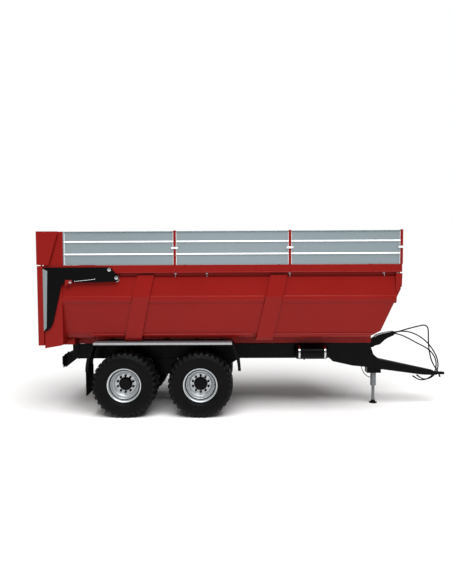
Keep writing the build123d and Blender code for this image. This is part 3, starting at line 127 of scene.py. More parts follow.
def bevelled(bm, width, segments=2, angle=30.0):
    """Rounds every edge sharper than the angle."""
    sharp = [edge for edge in bm.edges if edge.calc_face_angle(0) > math.radians(angle)]
    bmesh.ops.bevel(bm, geom=sharp, offset=width, segments=segments, affect="EDGES", clamp_overlap=True)


def add_block(bm, low, high):
    """Adds a box between two corners and returns its corner vertices."""
    xs, ys, zs = zip(low, high)
    corners = [bm.verts.new((x, y, z)) for x in xs for y in ys for z in zs]
    for ring in ((0, 1, 3, 2), (4, 6, 7, 5), (0, 4, 5, 1), (2, 3, 7, 6), (0, 2, 6, 4), (1, 5, 7, 3)):
        bm.faces.new([corners[index] for index in ring])
    return corners


def add_turned(bm, profile, segments, place, closed=False):
    """Revolves (radius, height) points about the local Z axis and moves them by a matrix."""
    rings = []
    for radius, height in profile:
        ring = []
        for index in range(segments):
            angle = 2 * math.pi * index / segments
            spot = Vector((radius * math.cos(angle), radius * math.sin(angle), height))
            ring.append(bm.verts.new(place @ spot))
        rings.append(ring)
    pairs = list(zip(rings, rings[1:])) + ([(rings[-1], rings[0])] if closed else [])
    for ring, other in pairs:
        for index in range(segments):
            after = (index + 1) % segments
            bm.faces.new((ring[index], ring[after], other[after], other[index]))
    if not closed:
        bm.faces.new(rings[0])
        bm.faces.new(rings[-1])


def add_extruded(bm, section, start, end, to_point):
    """Closed section swept from start to end; to_point maps (along, section point) to space."""
    rings = [[bm.verts.new(to_point(along, point)) for point in section] for along in (start, end)]
    count = len(section)
    for index in range(count):
        after = (index + 1) % count
        bm.faces.new((rings[0][index], rings[0][after], rings[1][after], rings[1][index]))
    bm.faces.new(rings[0])
    bm.faces.new(rings[1])


def along_side(side):
    """Maps a (y, z) section to space at each x, on one side of the cart."""
    return lambda along, point: (along, side * point[0], point[1])


def across(along, point):
    """Maps an (x, z) outline to space at each y."""
    return (point[0], along, point[1])


def side_span(side, inner, outer):
    """Lower and higher y of a span on one side of the cart."""
    return sorted((side * inner, side * outer))


def axis_frame(origin, direction):
    """Matrix whose local Z axis points along direction from origin."""
    turn = Vector(direction).normalized().to_track_quat("Z", "Y").to_matrix().to_4x4()
    return Matrix.Translation(Vector(origin)) @ turn


# ---- finishes ----
class Finish:
    """One procedural material; methods add nodes in the order that they act."""

    def __init__(self, name, colour, roughness, metallic=0.0, coat=0.0, coat_roughness=0.06, specular=0.5):
        self.material = bpy.data.materials.new(name)
        self.material.use_nodes = True
        self.nodes = self.material.node_tree.nodes
        self.links = self.material.node_tree.links
        self.shader = self.nodes["Principled BSDF"]
        self.shader.inputs["Metallic"].default_value = metallic
        self.shader.inputs["Coat Weight"].default_value = coat
        self.shader.inputs["Coat Roughness"].default_value = coat_roughness
        self.shader.inputs["Specular IOR Level"].default_value = specular
        self.material.diffuse_color = (*colour, 1.0)
        self.place = self.nodes.new("ShaderNodeTexCoord").outputs["Object"]
        self.colour = tuple(colour)
        self.roughness = roughness
        self.colour_out = None
        self.normal_out = None

    def noise(self, scale, detail, stretch=(1.0, 1.0, 1.0)):
        """Cloudy pattern, drawn out along the axes with a small stretch."""
        mapping = self.nodes.new("ShaderNodeMapping")
        mapping.inputs["Scale"].default_value = stretch
        self.links.new(self.place, mapping.inputs["Vector"])
        texture = self.nodes.new("ShaderNodeTexNoise")
        texture.inputs["Scale"].default_value = scale
        texture.inputs["Detail"].default_value = detail
        self.links.new(mapping.outputs["Vector"], texture.inputs["Vector"])
        return texture.outputs["Fac"]

    def spangle(self, scale):
        """Cells of zinc crystals, each with its own shade."""
        texture = self.nodes.new("ShaderNodeTexVoronoi")
        texture.inputs["Scale"].default_value = scale
        self.links.new(self.place, texture.inputs["Vector"])
        return texture.outputs["Color"]

    def span(self, source, low, high, out_low, out_high):
        """Maps a value from one span to another."""
        remap = self.nodes.new("ShaderNodeMapRange")
        limits = {"From Min": low, "From Max": high, "To Min": out_low, "To Max": out_high}
        for socket, value in limits.items():
            remap.inputs[socket].default_value = value
        self.links.new(source, remap.inputs["Value"])
        return remap.outputs["Result"]

    def blend_colour(self, factor, other):
        """Mixes another colour in where the factor is high."""
        mix = self.nodes.new("ShaderNodeMix")
        mix.data_type = "RGBA"
        factor_in, first, second = (mix.inputs[index] for index in (0, 6, 7))  # those of its colour kind
        if self.colour_out is None:
            first.default_value = (*self.colour, 1.0)
        else:
            self.links.new(self.colour_out, first)
        second.default_value = (*other, 1.0)
        self.links.new(factor, factor_in)
        self.colour_out = mix.outputs[2]
        return self

    def mottle(self, scale, depth, stretch=(1.0, 1.0, 1.0)):
        """Slow darkening in patches."""
        shade = tuple(channel * (1.0 - depth) for channel in self.colour)
        return self.blend_colour(self.span(self.noise(scale, 4.0, stretch), 0.35, 0.65, 0.0, 1.0), shade)

    def dust(self, colour, top, strength):
        """Pale dust that thins out with height above the ground."""
        height = self.nodes.new("ShaderNodeSeparateXYZ")
        self.links.new(self.place, height.inputs["Vector"])
        low = self.span(height.outputs["Z"], 0.0, top, strength, 0.0)
        patch = self.nodes.new("ShaderNodeMath")
        patch.operation = "MULTIPLY"
        self.links.new(low, patch.inputs[0])
        self.links.new(self.span(self.noise(9.0, 6.0), 0.3, 0.7, 0.2, 1.0), patch.inputs[1])
        return self.blend_colour(patch.outputs["Value"], colour)

    def worn_edges(self, colour, start, end):
        """Lighter colour along raised edges."""
        geometry = self.nodes.new("ShaderNodeNewGeometry")
        return self.blend_colour(self.span(geometry.outputs["Pointiness"], start, end, 0.0, 1.0), colour)

    def uneven_gloss(self, scale, spread, stretch=(1.0, 1.0, 1.0)):
        """Roughness that drifts either way by the spread."""
        low, high = self.roughness - spread, self.roughness + spread
        wide = self.span(self.noise(scale, 5.0, stretch), 0.3, 0.7, max(low, 0.02), high)
        self.links.new(wide, self.shader.inputs["Roughness"])
        return self

    def relief(self, source, depth, strength):
        """Fine unevenness on top of any that is there already."""
        bump = self.nodes.new("ShaderNodeBump")
        bump.inputs["Strength"].default_value = strength
        bump.inputs["Distance"].default_value = depth
        self.links.new(source, bump.inputs["Height"])
        if self.normal_out is not None:
            self.links.new(self.normal_out, bump.inputs["Normal"])
        self.normal_out = bump.outputs["Normal"]
        return self

    def grain(self, scale, detail, depth, strength):
        """Fine cloudy unevenness."""
        return self.relief(self.noise(scale, detail), depth, strength)

    def done(self):
        """Joins what was made to the shader and returns the material."""
        if self.colour_out is not None:
            self.links.new(self.colour_out, self.shader.inputs["Base Color"])
        else:
            self.shader.inputs["Base Color"].default_value = (*self.colour, 1.0)
        if self.normal_out is not None:
            self.links.new(self.normal_out, self.shader.inputs["Normal"])
        if not self.shader.inputs["Roughness"].is_linked:
            self.shader.inputs["Roughness"].default_value = self.roughness
        return self.material


def red_paint(colour):
    finish = Finish("gloss_red_paint", colour, 0.34, coat=0.06, coat_roughness=0.08, specular=0.11)
    return finish.mottle(0.55, 0.10).uneven_gloss(1.6, 0.05).grain(95.0, 2.0, 0.0006, 0.25).done()


def black_paint():
    finish = Finish("satin_black_paint", (0.0022, 0.0022, 0.0026), 0.36, specular=0.08)
    finish.mottle(1.2, 0.35).dust((0.03, 0.028, 0.025), 0.9, 0.05).uneven_gloss(3.0, 0.08)
    return finish.grain(130.0, 3.0, 0.0008, 0.3).done()


def grey_paint():
    finish = Finish("jack_grey_paint", (0.17, 0.18, 0.19), 0.36, metallic=0.25)
    finish.mottle(4.0, 0.22, (1.0, 1.0, 0.25)).dust((0.16, 0.14, 0.11), 0.35, 0.30).uneven_gloss(9.0, 0.08)
    return finish.grain(180.0, 2.0, 0.0006, 0.3).done()


def board_aluminium(colour):
    finish = Finish("brushed_aluminium", colour, 0.42, metallic=0.55)
    finish.mottle(0.35, 0.08)
    lengthwise = (0.5, 400.0, 400.0)
    brushing = finish.noise(3.0, 2.0, lengthwise)
    lighter = tuple(channel * 1.15 for channel in colour)
    finish.blend_colour(finish.span(brushing, 0.35, 0.70, 0.0, 0.10), lighter)
    finish.uneven_gloss(3.0, 0.03, lengthwise)
    return finish.relief(brushing, 0.00005, 0.05).done()


def edge_painted_highlight():
    # Near-white colour for the plank lips, end strips and post clamps: a painted highlight for the light
    # these edges catch, laid over bright aluminium
    finish = Finish("aluminium_edge_painted_highlight", (0.86, 0.88, 0.89), 0.26, metallic=0.15)
    finish.mottle(1.4, 0.06).uneven_gloss(7.0, 0.05, (0.5, 20.0, 20.0))
    return finish.grain(90.0, 2.0, 0.0003, 0.2).done()


def bright_steel():
    finish = Finish("bright_steel", (0.60, 0.61, 0.63), 0.24, metallic=1.0)
    finish.mottle(14.0, 0.18).uneven_gloss(30.0, 0.06, (1.0, 1.0, 6.0))
    return finish.grain(220.0, 2.0, 0.0003, 0.3).done()


def galvanised():
    finish = Finish("galvanised_sheet", (0.44, 0.45, 0.47), 0.36, metallic=0.85)
    cells = finish.spangle(38.0)
    finish.blend_colour(finish.span(cells, 0.2, 0.8, 0.0, 0.5), (0.32, 0.33, 0.35)).uneven_gloss(24.0, 0.10)
    return finish.relief(cells, 0.0004, 0.15).done()


def rim_silver():
    finish = Finish("rim_silver", (0.56, 0.59, 0.61), 0.34, metallic=0.60, coat=0.2, coat_roughness=0.15)
    finish.mottle(3.0, 0.08).dust((0.26, 0.24, 0.20), 0.6, 0.10).uneven_gloss(6.0, 0.04)
    return finish.grain(240.0, 2.0, 0.0002, 0.12).done()


def tyre_rubber():
    finish = Finish("tyre_rubber", (0.0028, 0.0028, 0.0032), 0.50, specular=0.08)
    finish.mottle(6.0, 0.30).dust((0.022, 0.021, 0.019), 0.40, 0.08)
    finish.worn_edges((0.010, 0.010, 0.010), 0.56, 0.70).uneven_gloss(11.0, 0.09)
    return finish.grain(160.0, 5.0, 0.0010, 0.4).done()


def black_rubber():
    finish = Finish("black_rubber", (0.0030, 0.0030, 0.0033), 0.50, specular=0.07)
    return finish.mottle(12.0, 0.30).uneven_gloss(20.0, 0.08).grain(260.0, 4.0, 0.0008, 0.4).done()


def lamp_lens():
    finish = Finish("red_lamp_lens", (0.42, 0.008, 0.008), 0.20, coat=0.9, coat_roughness=0.04)
    wave = finish.nodes.new("ShaderNodeTexWave")
    wave.inputs["Scale"].default_value = 70.0
    wave.bands_direction = "Y"
    finish.links.new(finish.place, wave.inputs["Vector"])
    finish.mottle(30.0, 0.25).uneven_gloss(40.0, 0.04)
    return finish.relief(wave.outputs["Fac"], 0.0012, 0.5).done()


def strip_plastic():
    finish = Finish("pale_marker_strip", (0.205, 0.240, 0.250), 0.38)
    finish.mottle(3.0, 0.14, (1.0, 1.0, 0.4)).uneven_gloss(14.0, 0.06)
    return finish.grain(150.0, 3.0, 0.0005, 0.3).done()


def floor_finish(colour):
    finish = Finish("studio_floor", colour, 0.75)
    finish.mottle(0.15, 0.01).uneven_gloss(0.8, 0.03)
    return finish.done()


# ---- settings ----
class CartPaint(bpy.types.PropertyGroup):
    body_colour: FloatVectorProperty(
        name="Body colour", description="Colour of the body's paint", subtype="COLOR", size=3,
        min=0.0, max=1.0, default=(0.226, 0.0075, 0.0055),
    )
    board_colour: FloatVectorProperty(
        name="Board colour", description="Colour of the aluminium side boards", subtype="COLOR", size=3,
        min=0.0, max=1.0, default=(0.285, 0.345, 0.370),
    )


class CartTyres(bpy.types.PropertyGroup):
    radius: FloatProperty(
        name="Radius", description="Outer radius of a tyre", default=0.667, unit="LENGTH",
    )
    lug_height: FloatProperty(
        name="Lug height", description="Height of a tread lug", default=0.022, unit="LENGTH",
    )
    lug_count: IntProperty(name="Lugs", description="Lugs in one row round a tyre", default=34, min=8)


class CartRims(bpy.types.PropertyGroup):
    flange_radius: FloatProperty(
        name="Flange radius", description="Outer radius of a rim", default=0.349, unit="LENGTH",
    )
    segments: IntProperty(name="Segments", description="Steps round a rim", default=96, min=24)


class CartBoards(bpy.types.PropertyGroup):
    lip_height: FloatProperty(
        name="Lip height", description="Height of a plank's bright lip", default=0.035, unit="LENGTH",
    )
    lip_reach: FloatProperty(
        name="Lip reach", description="How far a lip stands out", default=0.018, unit="LENGTH",
    )


class CartTrim(bpy.types.PropertyGroup):
    bolt_radius: FloatProperty(
        name="Bolt radius", description="Across-corner radius of a bolt head", default=0.014, unit="LENGTH",
    )
    hook_reach: FloatProperty(
        name="Hook reach", description="How far a sheet hook hangs down", default=0.060, unit="LENGTH",
    )


class CartStage(bpy.types.PropertyGroup):
    floor_colour: FloatVectorProperty(
        name="Floor colour", description="Colour of the studio floor", subtype="COLOR", size=3,
        min=0.0, max=1.0, default=(0.95, 0.95, 0.945),
    )
    key_level: FloatProperty(
        name="Key light", description="Strength of the overhead soft light", default=3.25, min=0.0,
    )
    fill_power: FloatProperty(
        name="Fill light", description="Power of the side soft light", default=450.0, unit="POWER",
    )
    sky_level: FloatProperty(
        name="Sky level", description="Brightness of the surroundings", default=0.24, min=0.0,
    )
    lens: FloatProperty(name="Lens", description="Focal length in millimetres", default=32.98)


# ---- stage ----
class CART_OT_stage(bpy.types.Operator):
    """Makes the camera, the pale floor and the soft lights"""

    bl_idname = "cart.stage"
    bl_label = "Stage and camera"

    def execute(self, context):
        settings = context.scene.cart_stage
        self.camera(context, settings)
        self.floor(settings)
        self.overhead(settings)
        self.side_light(settings)
        self.surroundings(context, settings)
        context.scene.view_settings.view_transform = "Standard"
        return {"FINISHED"}

    def surroundings(self, context, settings):
        """White where it is seen directly, dimmer where it lights the cart."""
        world = bpy.data.worlds.new("studio")
        world.use_nodes = True
        nodes, links = world.node_tree.nodes, world.node_tree.links
        seen = nodes.new("ShaderNodeLightPath").outputs["Is Camera Ray"]
        level = nodes.new("ShaderNodeMapRange")
        level.inputs["To Min"].default_value = settings.sky_level
        level.inputs["To Max"].default_value = 1.0
        links.new(seen, level.inputs["Value"])
        links.new(level.outputs["Result"], nodes["Background"].inputs["Strength"])
        nodes["Background"].inputs["Color"].default_value = (1.0, 1.0, 1.0, 1.0)
        context.scene.world = world

    def camera(self, context, settings):
        """Camera beside the cart's right side, turned a little down."""
        data = bpy.data.cameras.new("camera")
        data.lens = settings.lens
        data.sensor_width = 36.0
        data.clip_end = 500.0
        camera = bpy.data.objects.new("camera", data)
        spot = Matrix.Translation((-0.4154, -11.9303, 3.1072))
        yaw, pitch, roll = 0.0116, 0.0508, -0.0047
        turn = Matrix.Rotation(yaw, 4, "Z") @ Matrix.Rotation(math.pi / 2 - pitch, 4, "X")
        camera.matrix_world = spot @ turn @ Matrix.Rotation(roll, 4, "Z")
        context.collection.objects.link(camera)
        context.scene.camera = camera

    def floor(self, settings):
        """Wide floor that the cart stands on."""
        bm = bmesh.new()
        reach, steps = 90.0, 6
        marks = [reach * (2 * index / steps - 1) for index in range(steps + 1)]
        rows = [[bm.verts.new((x, y, 0.0)) for x in marks] for y in marks]
        for row, after in zip(rows, rows[1:]):
            for index in range(steps):
                bm.faces.new((row[index], row[index + 1], after[index + 1], after[index]))
        floor = object_from(bm, "floor", 60.0)
        floor.data.materials.append(floor_finish(settings.floor_colour))

    def overhead(self, settings):
        """Broad even light from above, tilted towards the camera's side."""
        spread, tilt, lean = 50.0, 26.0, 7.0
        data = bpy.data.lights.new("key_light", "SUN")
        data.energy = settings.key_level
        data.angle = math.radians(spread)
        lamp = bpy.data.objects.new("key_light", data)
        lamp.rotation_euler = (math.radians(tilt), math.radians(lean), 0.0)
        bpy.context.collection.objects.link(lamp)

    def side_light(self, settings):
        """Long soft box above the camera's side, aimed at the body."""
        spot, aim = Vector((-1.0, -9.0, 10.5)), Vector((0.0, 0.0, 2.2))
        data = bpy.data.lights.new("front_light", "AREA")
        data.shape = "RECTANGLE"
        data.size, data.size_y = 12.0, 3.0
        data.energy = settings.fill_power
        lamp = bpy.data.objects.new("front_light", data)
        lamp.location = spot
        lamp.rotation_mode = "QUATERNION"
        lamp.rotation_quaternion = (aim - spot).to_track_quat("-Z", "Y")
        bpy.context.collection.objects.link(lamp)


# ---- hoses ----
def hose_curve(name, points, radius):
    """Round hose along one smooth spline with the route's points as its controls."""
    curve = bpy.data.curves.new(name, "CURVE")
    curve.dimensions = "3D"
    curve.bevel_depth = 1.0  # scaled by each point's radius
    curve.bevel_resolution = 5
    curve.use_fill_caps = True
    spline = curve.splines.new("NURBS")
    spline.points.add(len(points) - 1)
    for control, point in zip(spline.points, points):
        control.co = (*point, 1.0)
        control.radius = radius
    spline.order_u = 3
    spline.use_endpoint_u = True
    spline.resolution_u = 12
    hose = bpy.data.objects.new(name, curve)
    bpy.context.collection.objects.link(hose)
    return hose


def quick_coupler(name, end, before):
    """Push-in hydraulic coupler: crimped ferrule, hexagon, sleeve and nose."""
    direction = Vector(end) - Vector(before)
    bm = bmesh.new()
    place = axis_frame(end, direction)
    profile = [
        (0.0141, -0.004), (0.0172, -0.004), (0.0172, 0.004), (0.0155, 0.006), (0.0172, 0.009),
        (0.0155, 0.012), (0.0172, 0.015), (0.0155, 0.018), (0.0172, 0.022), (0.0172, 0.027),
        (0.0130, 0.029), (0.0130, 0.050), (0.0175, 0.051), (0.0188, 0.054), (0.0188, 0.068),
        (0.0175, 0.071), (0.0125, 0.072), (0.0125, 0.081), (0.0105, 0.084), (0.0060, 0.084),
        (0.0060, 0.070), (0.0010, 0.069),
    ]
    add_turned(bm, profile, 32, place)
    hexagon = [(0.0182, 0.031), (0.0182, 0.045), (0.0128, 0.0465), (0.0128, 0.0295)]
    add_turned(bm, hexagon, 6, place, closed=True)
    return object_from(bm, name, 35.0)


class CART_OT_hoses(bpy.types.Operator):
    """Makes the three free hoses with their couplers, and the jack's hose"""

    bl_idname = "cart.hoses"
    bl_label = "Hoses"

    def execute(self, context):
        rubber, black = black_rubber(), black_paint()
        for name, hose in HOSES.items():
            points = hose["points"]
            curve = hose_curve(f"hose_{name}_run", points, HOSE_RADIUS)
            tube = dress(curve, "chassis", rubber)
            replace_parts(tube, f"hose_{name}")
            coupler = quick_coupler(f"hose_{name}_coupler", points[-1], points[-2])
            dress(coupler, "chassis", black)
            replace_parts(coupler, "hose_couplers")
        curve = hose_curve("jack_hose_run", JACK_HOSE, JACK_HOSE_RADIUS)
        jack = dress(curve, "chassis", rubber)
        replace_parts(jack, "jack_hose")
        return {"FINISHED"}


class CART_OT_carrier_cover_and_highlight(bpy.types.Operator):
    """Makes the grey sheet cover along the top of the hose carrier, whose pale grey is partly a painted
    highlight on the carrier's top
    """

    bl_idname = "cart.carrier_cover"
    bl_label = "Hose carrier cover"

    def execute(self, context):
        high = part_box("hose_carrier")[1]
        half_width = high[1] - 0.004
        tip = high[0] - 0.045
        thickness = 0.014
        upper = [(tip - 0.395, 1.497), (tip - 0.355, 1.535), (tip - 0.233, 1.574), (tip, 1.620)]
        under = [(x + 0.004, z - thickness) for x, z in reversed(upper)]
        bm = bmesh.new()
        add_extruded(bm, upper + under, -half_width, half_width, across)
        bevelled(bm, 0.002)
        # galvanised grey on the carrier's top: a real sheet, and partly a painted highlight where the top
        # catches the light
        dress(object_from(bm, "hose_carrier_cover_and_highlight", 40.0), "chassis", galvanised())
        return {"FINISHED"}


# ---- paint and metal on the carried-over nodes ----
class CART_OT_finishes(bpy.types.Operator):
    """Gives every carried-over node the finish of its slot"""

    bl_idname = "cart.finishes"
    bl_label = "Paint and metal"

    def execute(self, context):
        colours = context.scene.cart_paint
        finishes = {
            "red_paint": red_paint(colours.body_colour),
            "black_paint": black_paint(),
            "grey_paint": grey_paint(),
            "aluminium": board_aluminium(colours.board_colour),
            "bright_steel": bright_steel(),
            "galvanised": galvanised(),
            "black_rubber": black_rubber(),
            "lamp_red": lamp_lens(),
            "tyre_rubber": tyre_rubber(),
            "rim_silver": rim_silver(),
        }
        for row in frame["record"]["subparts"]:
            node = frame["nodes"][row["node"]]
            node.data.materials.clear()
            node.data.materials.append(finishes[row["material_slot"]])
        return {"FINISHED"}


# ---- wheels ----
def node_middle(name):
    """Middle of a node's box."""
    low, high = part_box(name)
    return (Vector(low) + Vector(high)) / 2


def wheel_place(wheel):
    """Matrix from a wheel's own frame, local Z outwards, to its place."""
    side = 1.0 if wheel.endswith("left") else -1.0
    return axis_frame(node_middle(f"tyre_{wheel}"), (0.0, side, 0.0))


def add_lug(bm, place, angles, span, radii, narrowing):
    """Tread lug whose outer face is smaller than its foot.

    angles are its first, its last and how far its far end is turned on; span is where its two ends
    lie across the tyre; radii are the foot and the top of each end.
    """
    first, last, shift = angles
    steps = 3
    ends = []
    for width, levels, turned in zip(span, radii, (0.0, shift)):
        corners = []
        for index in range(steps):
            turn = index / (steps - 1)
            for level, radius in enumerate(levels):
                squeeze = narrowing * level * (1 - 2 * turn)
                angle = first + (last - first) * turn + squeeze + turned
                spot = Vector((radius * math.cos(angle), radius * math.sin(angle), width))
                corners.append(bm.verts.new(place @ spot))
        ends.append(corners)
    near, far = ends
    for index in range(steps - 1):
        a, b, c, d = 2 * index, 2 * index + 1, 2 * index + 3, 2 * index + 2
        bm.faces.new((near[a], near[b], near[c], near[d]))
        bm.faces.new((far[a], far[d], far[c], far[b]))
        bm.faces.new((near[b], far[b], far[c], near[c]))
        bm.faces.new((near[a], near[d], far[d], far[a]))
    bm.faces.new((near[0], far[0], far[1], near[1]))
    bm.faces.new((near[-2], near[-1], far[-1], far[-2]))


def tyre_mesh(name, place, settings):
    """Radial flotation tyre: ribbed sidewalls and staggered rows of lugs. Profiles are (radius, width)."""
    top = settings.radius
    crown = top - settings.lug_height
    half_width = 0.300
    outer_half = [
        (0.352, 0.232), (0.353, 0.258), (0.360, 0.268), (0.372, 0.272), (0.384, 0.272), (0.390, 0.277),
        (0.398, 0.277), (0.404, 0.281), (0.436, 0.291), (0.470, 0.297), (0.500, half_width),
        (0.530, half_width), (0.556, 0.297), (0.562, 0.2985), (0.570, 0.2985), (0.576, 0.294),
        (0.600, 0.286), (0.622, 0.268), (0.636, 0.240), (crown - 0.003, 0.200), (crown, 0.120), (crown, 0.0),
    ]
    outside = outer_half + [(radius, -width) for radius, width in reversed(outer_half[:-1])]
    inner_half = [(0.352, -0.205), (0.430, -0.255), (0.510, -0.262), (0.590, -0.250), (0.618, -0.190)]
    inside = inner_half + [(0.624, 0.0)] + [(radius, -width) for radius, width in reversed(inner_half)]
    bm = bmesh.new()
    add_turned(bm, outside + inside, 120, place, closed=True)

    pitch = 2 * math.pi / settings.lug_count
    crown_end = (crown - 0.012, top - 0.001)  # foot and top of a lug, as radii
    middle_end = (crown - 0.012, top)
    shoulder_end = (0.606, 0.655)
    sidewall_end = (0.580, 0.618)
    lugs = (  # first and last angle and turn in pitches, span, radii of the ends, narrowing
        ((0.0, 0.56, 0.0), (0.168, 0.262), (crown_end, shoulder_end), 0.010),
        ((0.0, 0.56, 0.0), (0.258, 0.292), (shoulder_end, sidewall_end), 0.010),
        ((0.32, 0.86, -0.35), (0.018, 0.150), (middle_end, crown_end), 0.009),
    )
    for index in range(settings.lug_count):
        for stagger, side in ((0.0, 1.0), (0.5, -1.0)):
            start = index * pitch + stagger * pitch
            for (first, last, shift), span, radii, narrowing in lugs:
                angles = (start + first * pitch, start + last * pitch, shift * pitch)
                add_lug(bm, place, angles, [side * width for width in span], radii, narrowing)
    return object_from(bm, name, 32.0)


class CART_OT_tyres(bpy.types.Operator):
    """Makes the four tyres with their treads"""

    bl_idname = "cart.tyres"
    bl_label = "Tyres"

    def execute(self, context):
        rubber = tyre_rubber()
        for wheel in WHEELS:
            tyre = tyre_mesh(f"tread_tyre_{wheel}", wheel_place(wheel), context.scene.cart_tyres)
            dress(tyre, f"wheel_{wheel}", rubber)
            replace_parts(tyre, f"tyre_{wheel}")
        return {"FINISHED"}


HUB_RADIUS = 0.1404  # hole in the rim's disc, which sits on the hub


def rim_mesh(name, place, settings):
    """Drop-centre rim: a rolled lip, a dished disc and the stepped bowl between them."""
    lip = settings.flange_radius
    outside = [
        (lip - 0.004, 0.2440), (lip, 0.2490), (lip + 0.001, 0.2550), (lip - 0.002, 0.2595),
        (lip - 0.008, 0.2610), (lip - 0.016, 0.2585), (lip - 0.024, 0.2510), (lip - 0.030, 0.2400),
        (lip - 0.0335, 0.2250), (lip - 0.0345, 0.1760), (lip - 0.0380, 0.1620), (lip - 0.0520, 0.1600),
        (lip - 0.0550, 0.1760), (lip - 0.0570, 0.1960), (lip - 0.0610, 0.1985), (lip - 0.0650, 0.1940),
        (lip - 0.0670, 0.1700), (lip - 0.0700, 0.1450), (0.2720, 0.1180), (0.2620, 0.1060),
        (0.2560, 0.1050), (0.2400, 0.0880), (0.2240, 0.0700), (0.2150, 0.0620),
        (0.2080, 0.0610), (0.2040, 0.0630), (0.1960, 0.0630), (0.1920, 0.0615),
        (HUB_RADIUS, 0.0615),
    ]
    inside = [
        (HUB_RADIUS, 0.0495), (0.2120, 0.0495), (0.2580, 0.0870), (0.2900, 0.0900), (0.2980, 0.0600),
        (0.3000, -0.1400), (0.3200, -0.1900), (0.3280, -0.2400), (0.3400, -0.2590), (lip - 0.003, -0.2595),
        (lip, -0.2500), (0.3420, -0.2440), (0.3365, -0.2300), (0.3360, -0.2020), (0.3100, -0.1400),
        (0.3100, 0.1400), (0.3300, 0.1800), (0.3360, 0.2020), (0.3365, 0.2300),
    ]
    bm = bmesh.new()
    add_turned(bm, outside + inside, settings.segments, place, closed=True)
    return object_from(bm, name, 28.0)


def valve_mesh(name, place):
    """Air valve that stands out of the rim's bowl."""
    bm = bmesh.new()
    stem = place @ axis_frame((0.283, 0.0, 0.150), (0.15, 0.0, 1.0))
    profile = [
        (0.009, -0.012), (0.009, 0.006), (0.0055, 0.009), (0.0055, 0.040), (0.0075, 0.041), (0.0075, 0.056),
        (0.004, 0.060),
    ]
    add_turned(bm, profile, 16, stem)
    return object_from(bm, name, 35.0)


def groove_shadow_ring(name, place, lip):
    """Black ring in the groove behind the rolled lip: painted shade, a dark solid where the groove only lies
    in shadow.
    """
    bm = bmesh.new()
    profile = [
        (lip - 0.0362, 0.172), (lip - 0.0380, 0.180), (lip - 0.0500, 0.180), (lip - 0.0540, 0.172),
        (lip - 0.0450, 0.163),
    ]
    add_turned(bm, profile, 96, place, closed=True)
    return object_from(bm, name, 40.0)


def nut_covers(name, place):
    """Black covers over the wheel's nuts."""
    bm = bmesh.new()
    count, circle, seat = 10, 0.1675, 0.0620
    profile = [(0.0215, 0.0), (0.0235, 0.004), (0.0225, 0.040), (0.0170, 0.047), (0.0060, 0.049)]
    for index in range(count):
        angle = 2 * math.pi * (index + 0.5) / count
        spot = place @ Matrix.Translation((circle * math.cos(angle), circle * math.sin(angle), seat))
        add_turned(bm, profile, 12, spot)
    return object_from(bm, name, 35.0)


class CART_OT_rims(bpy.types.Operator):
    """Makes the four rims with their valves, nut covers and black groove rings of painted shade"""

    bl_idname = "cart.rims"
    bl_label = "Rims"

    def execute(self, context):
        settings = context.scene.cart_rims
        silver, rubber = rim_silver(), black_rubber()
        for wheel in WHEELS:
            body, place = f"wheel_{wheel}", wheel_place(wheel)
            rim = dress(rim_mesh(f"dished_rim_{wheel}", place, settings), body, silver)
            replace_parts(rim, f"wheel_rim_{wheel}")
            dress(valve_mesh(f"air_valve_{wheel}", place), body, rubber)
            dress(nut_covers(f"nut_covers_{wheel}", place), body, rubber)
            ring = groove_shadow_ring(f"groove_shadow_ring_{wheel}", place, settings.flange_radius)
            # black ring of painted shade in the groove behind the lip
            dress(ring, body, rubber)
        return {"FINISHED"}


# ---- side boards ----
BOARD_THICKNESS = 0.025
END_PROFILE_WIDTH = 0.020
POST_WIDTH = 0.050
MIDDLE_POSTS = (-1.5605, 0.7375)  # X of the posts between the sections
FRONT_POST = 2.9535
PLANK_LEVELS = (0.0, 0.345, 0.715, 1.0)  # where the planks of a side meet, as shares of its height


def board_sections():
    """X ranges of the board sections, from the rear profile and the posts."""
    low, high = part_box("side_boards_right")
    start = low[0] + END_PROFILE_WIDTH
    sections = []
    for post in (*MIDDLE_POSTS, high[0] + POST_WIDTH / 2):
        sections.append((start, post - POST_WIDTH / 2))
        start = post + POST_WIDTH / 2
    return sections


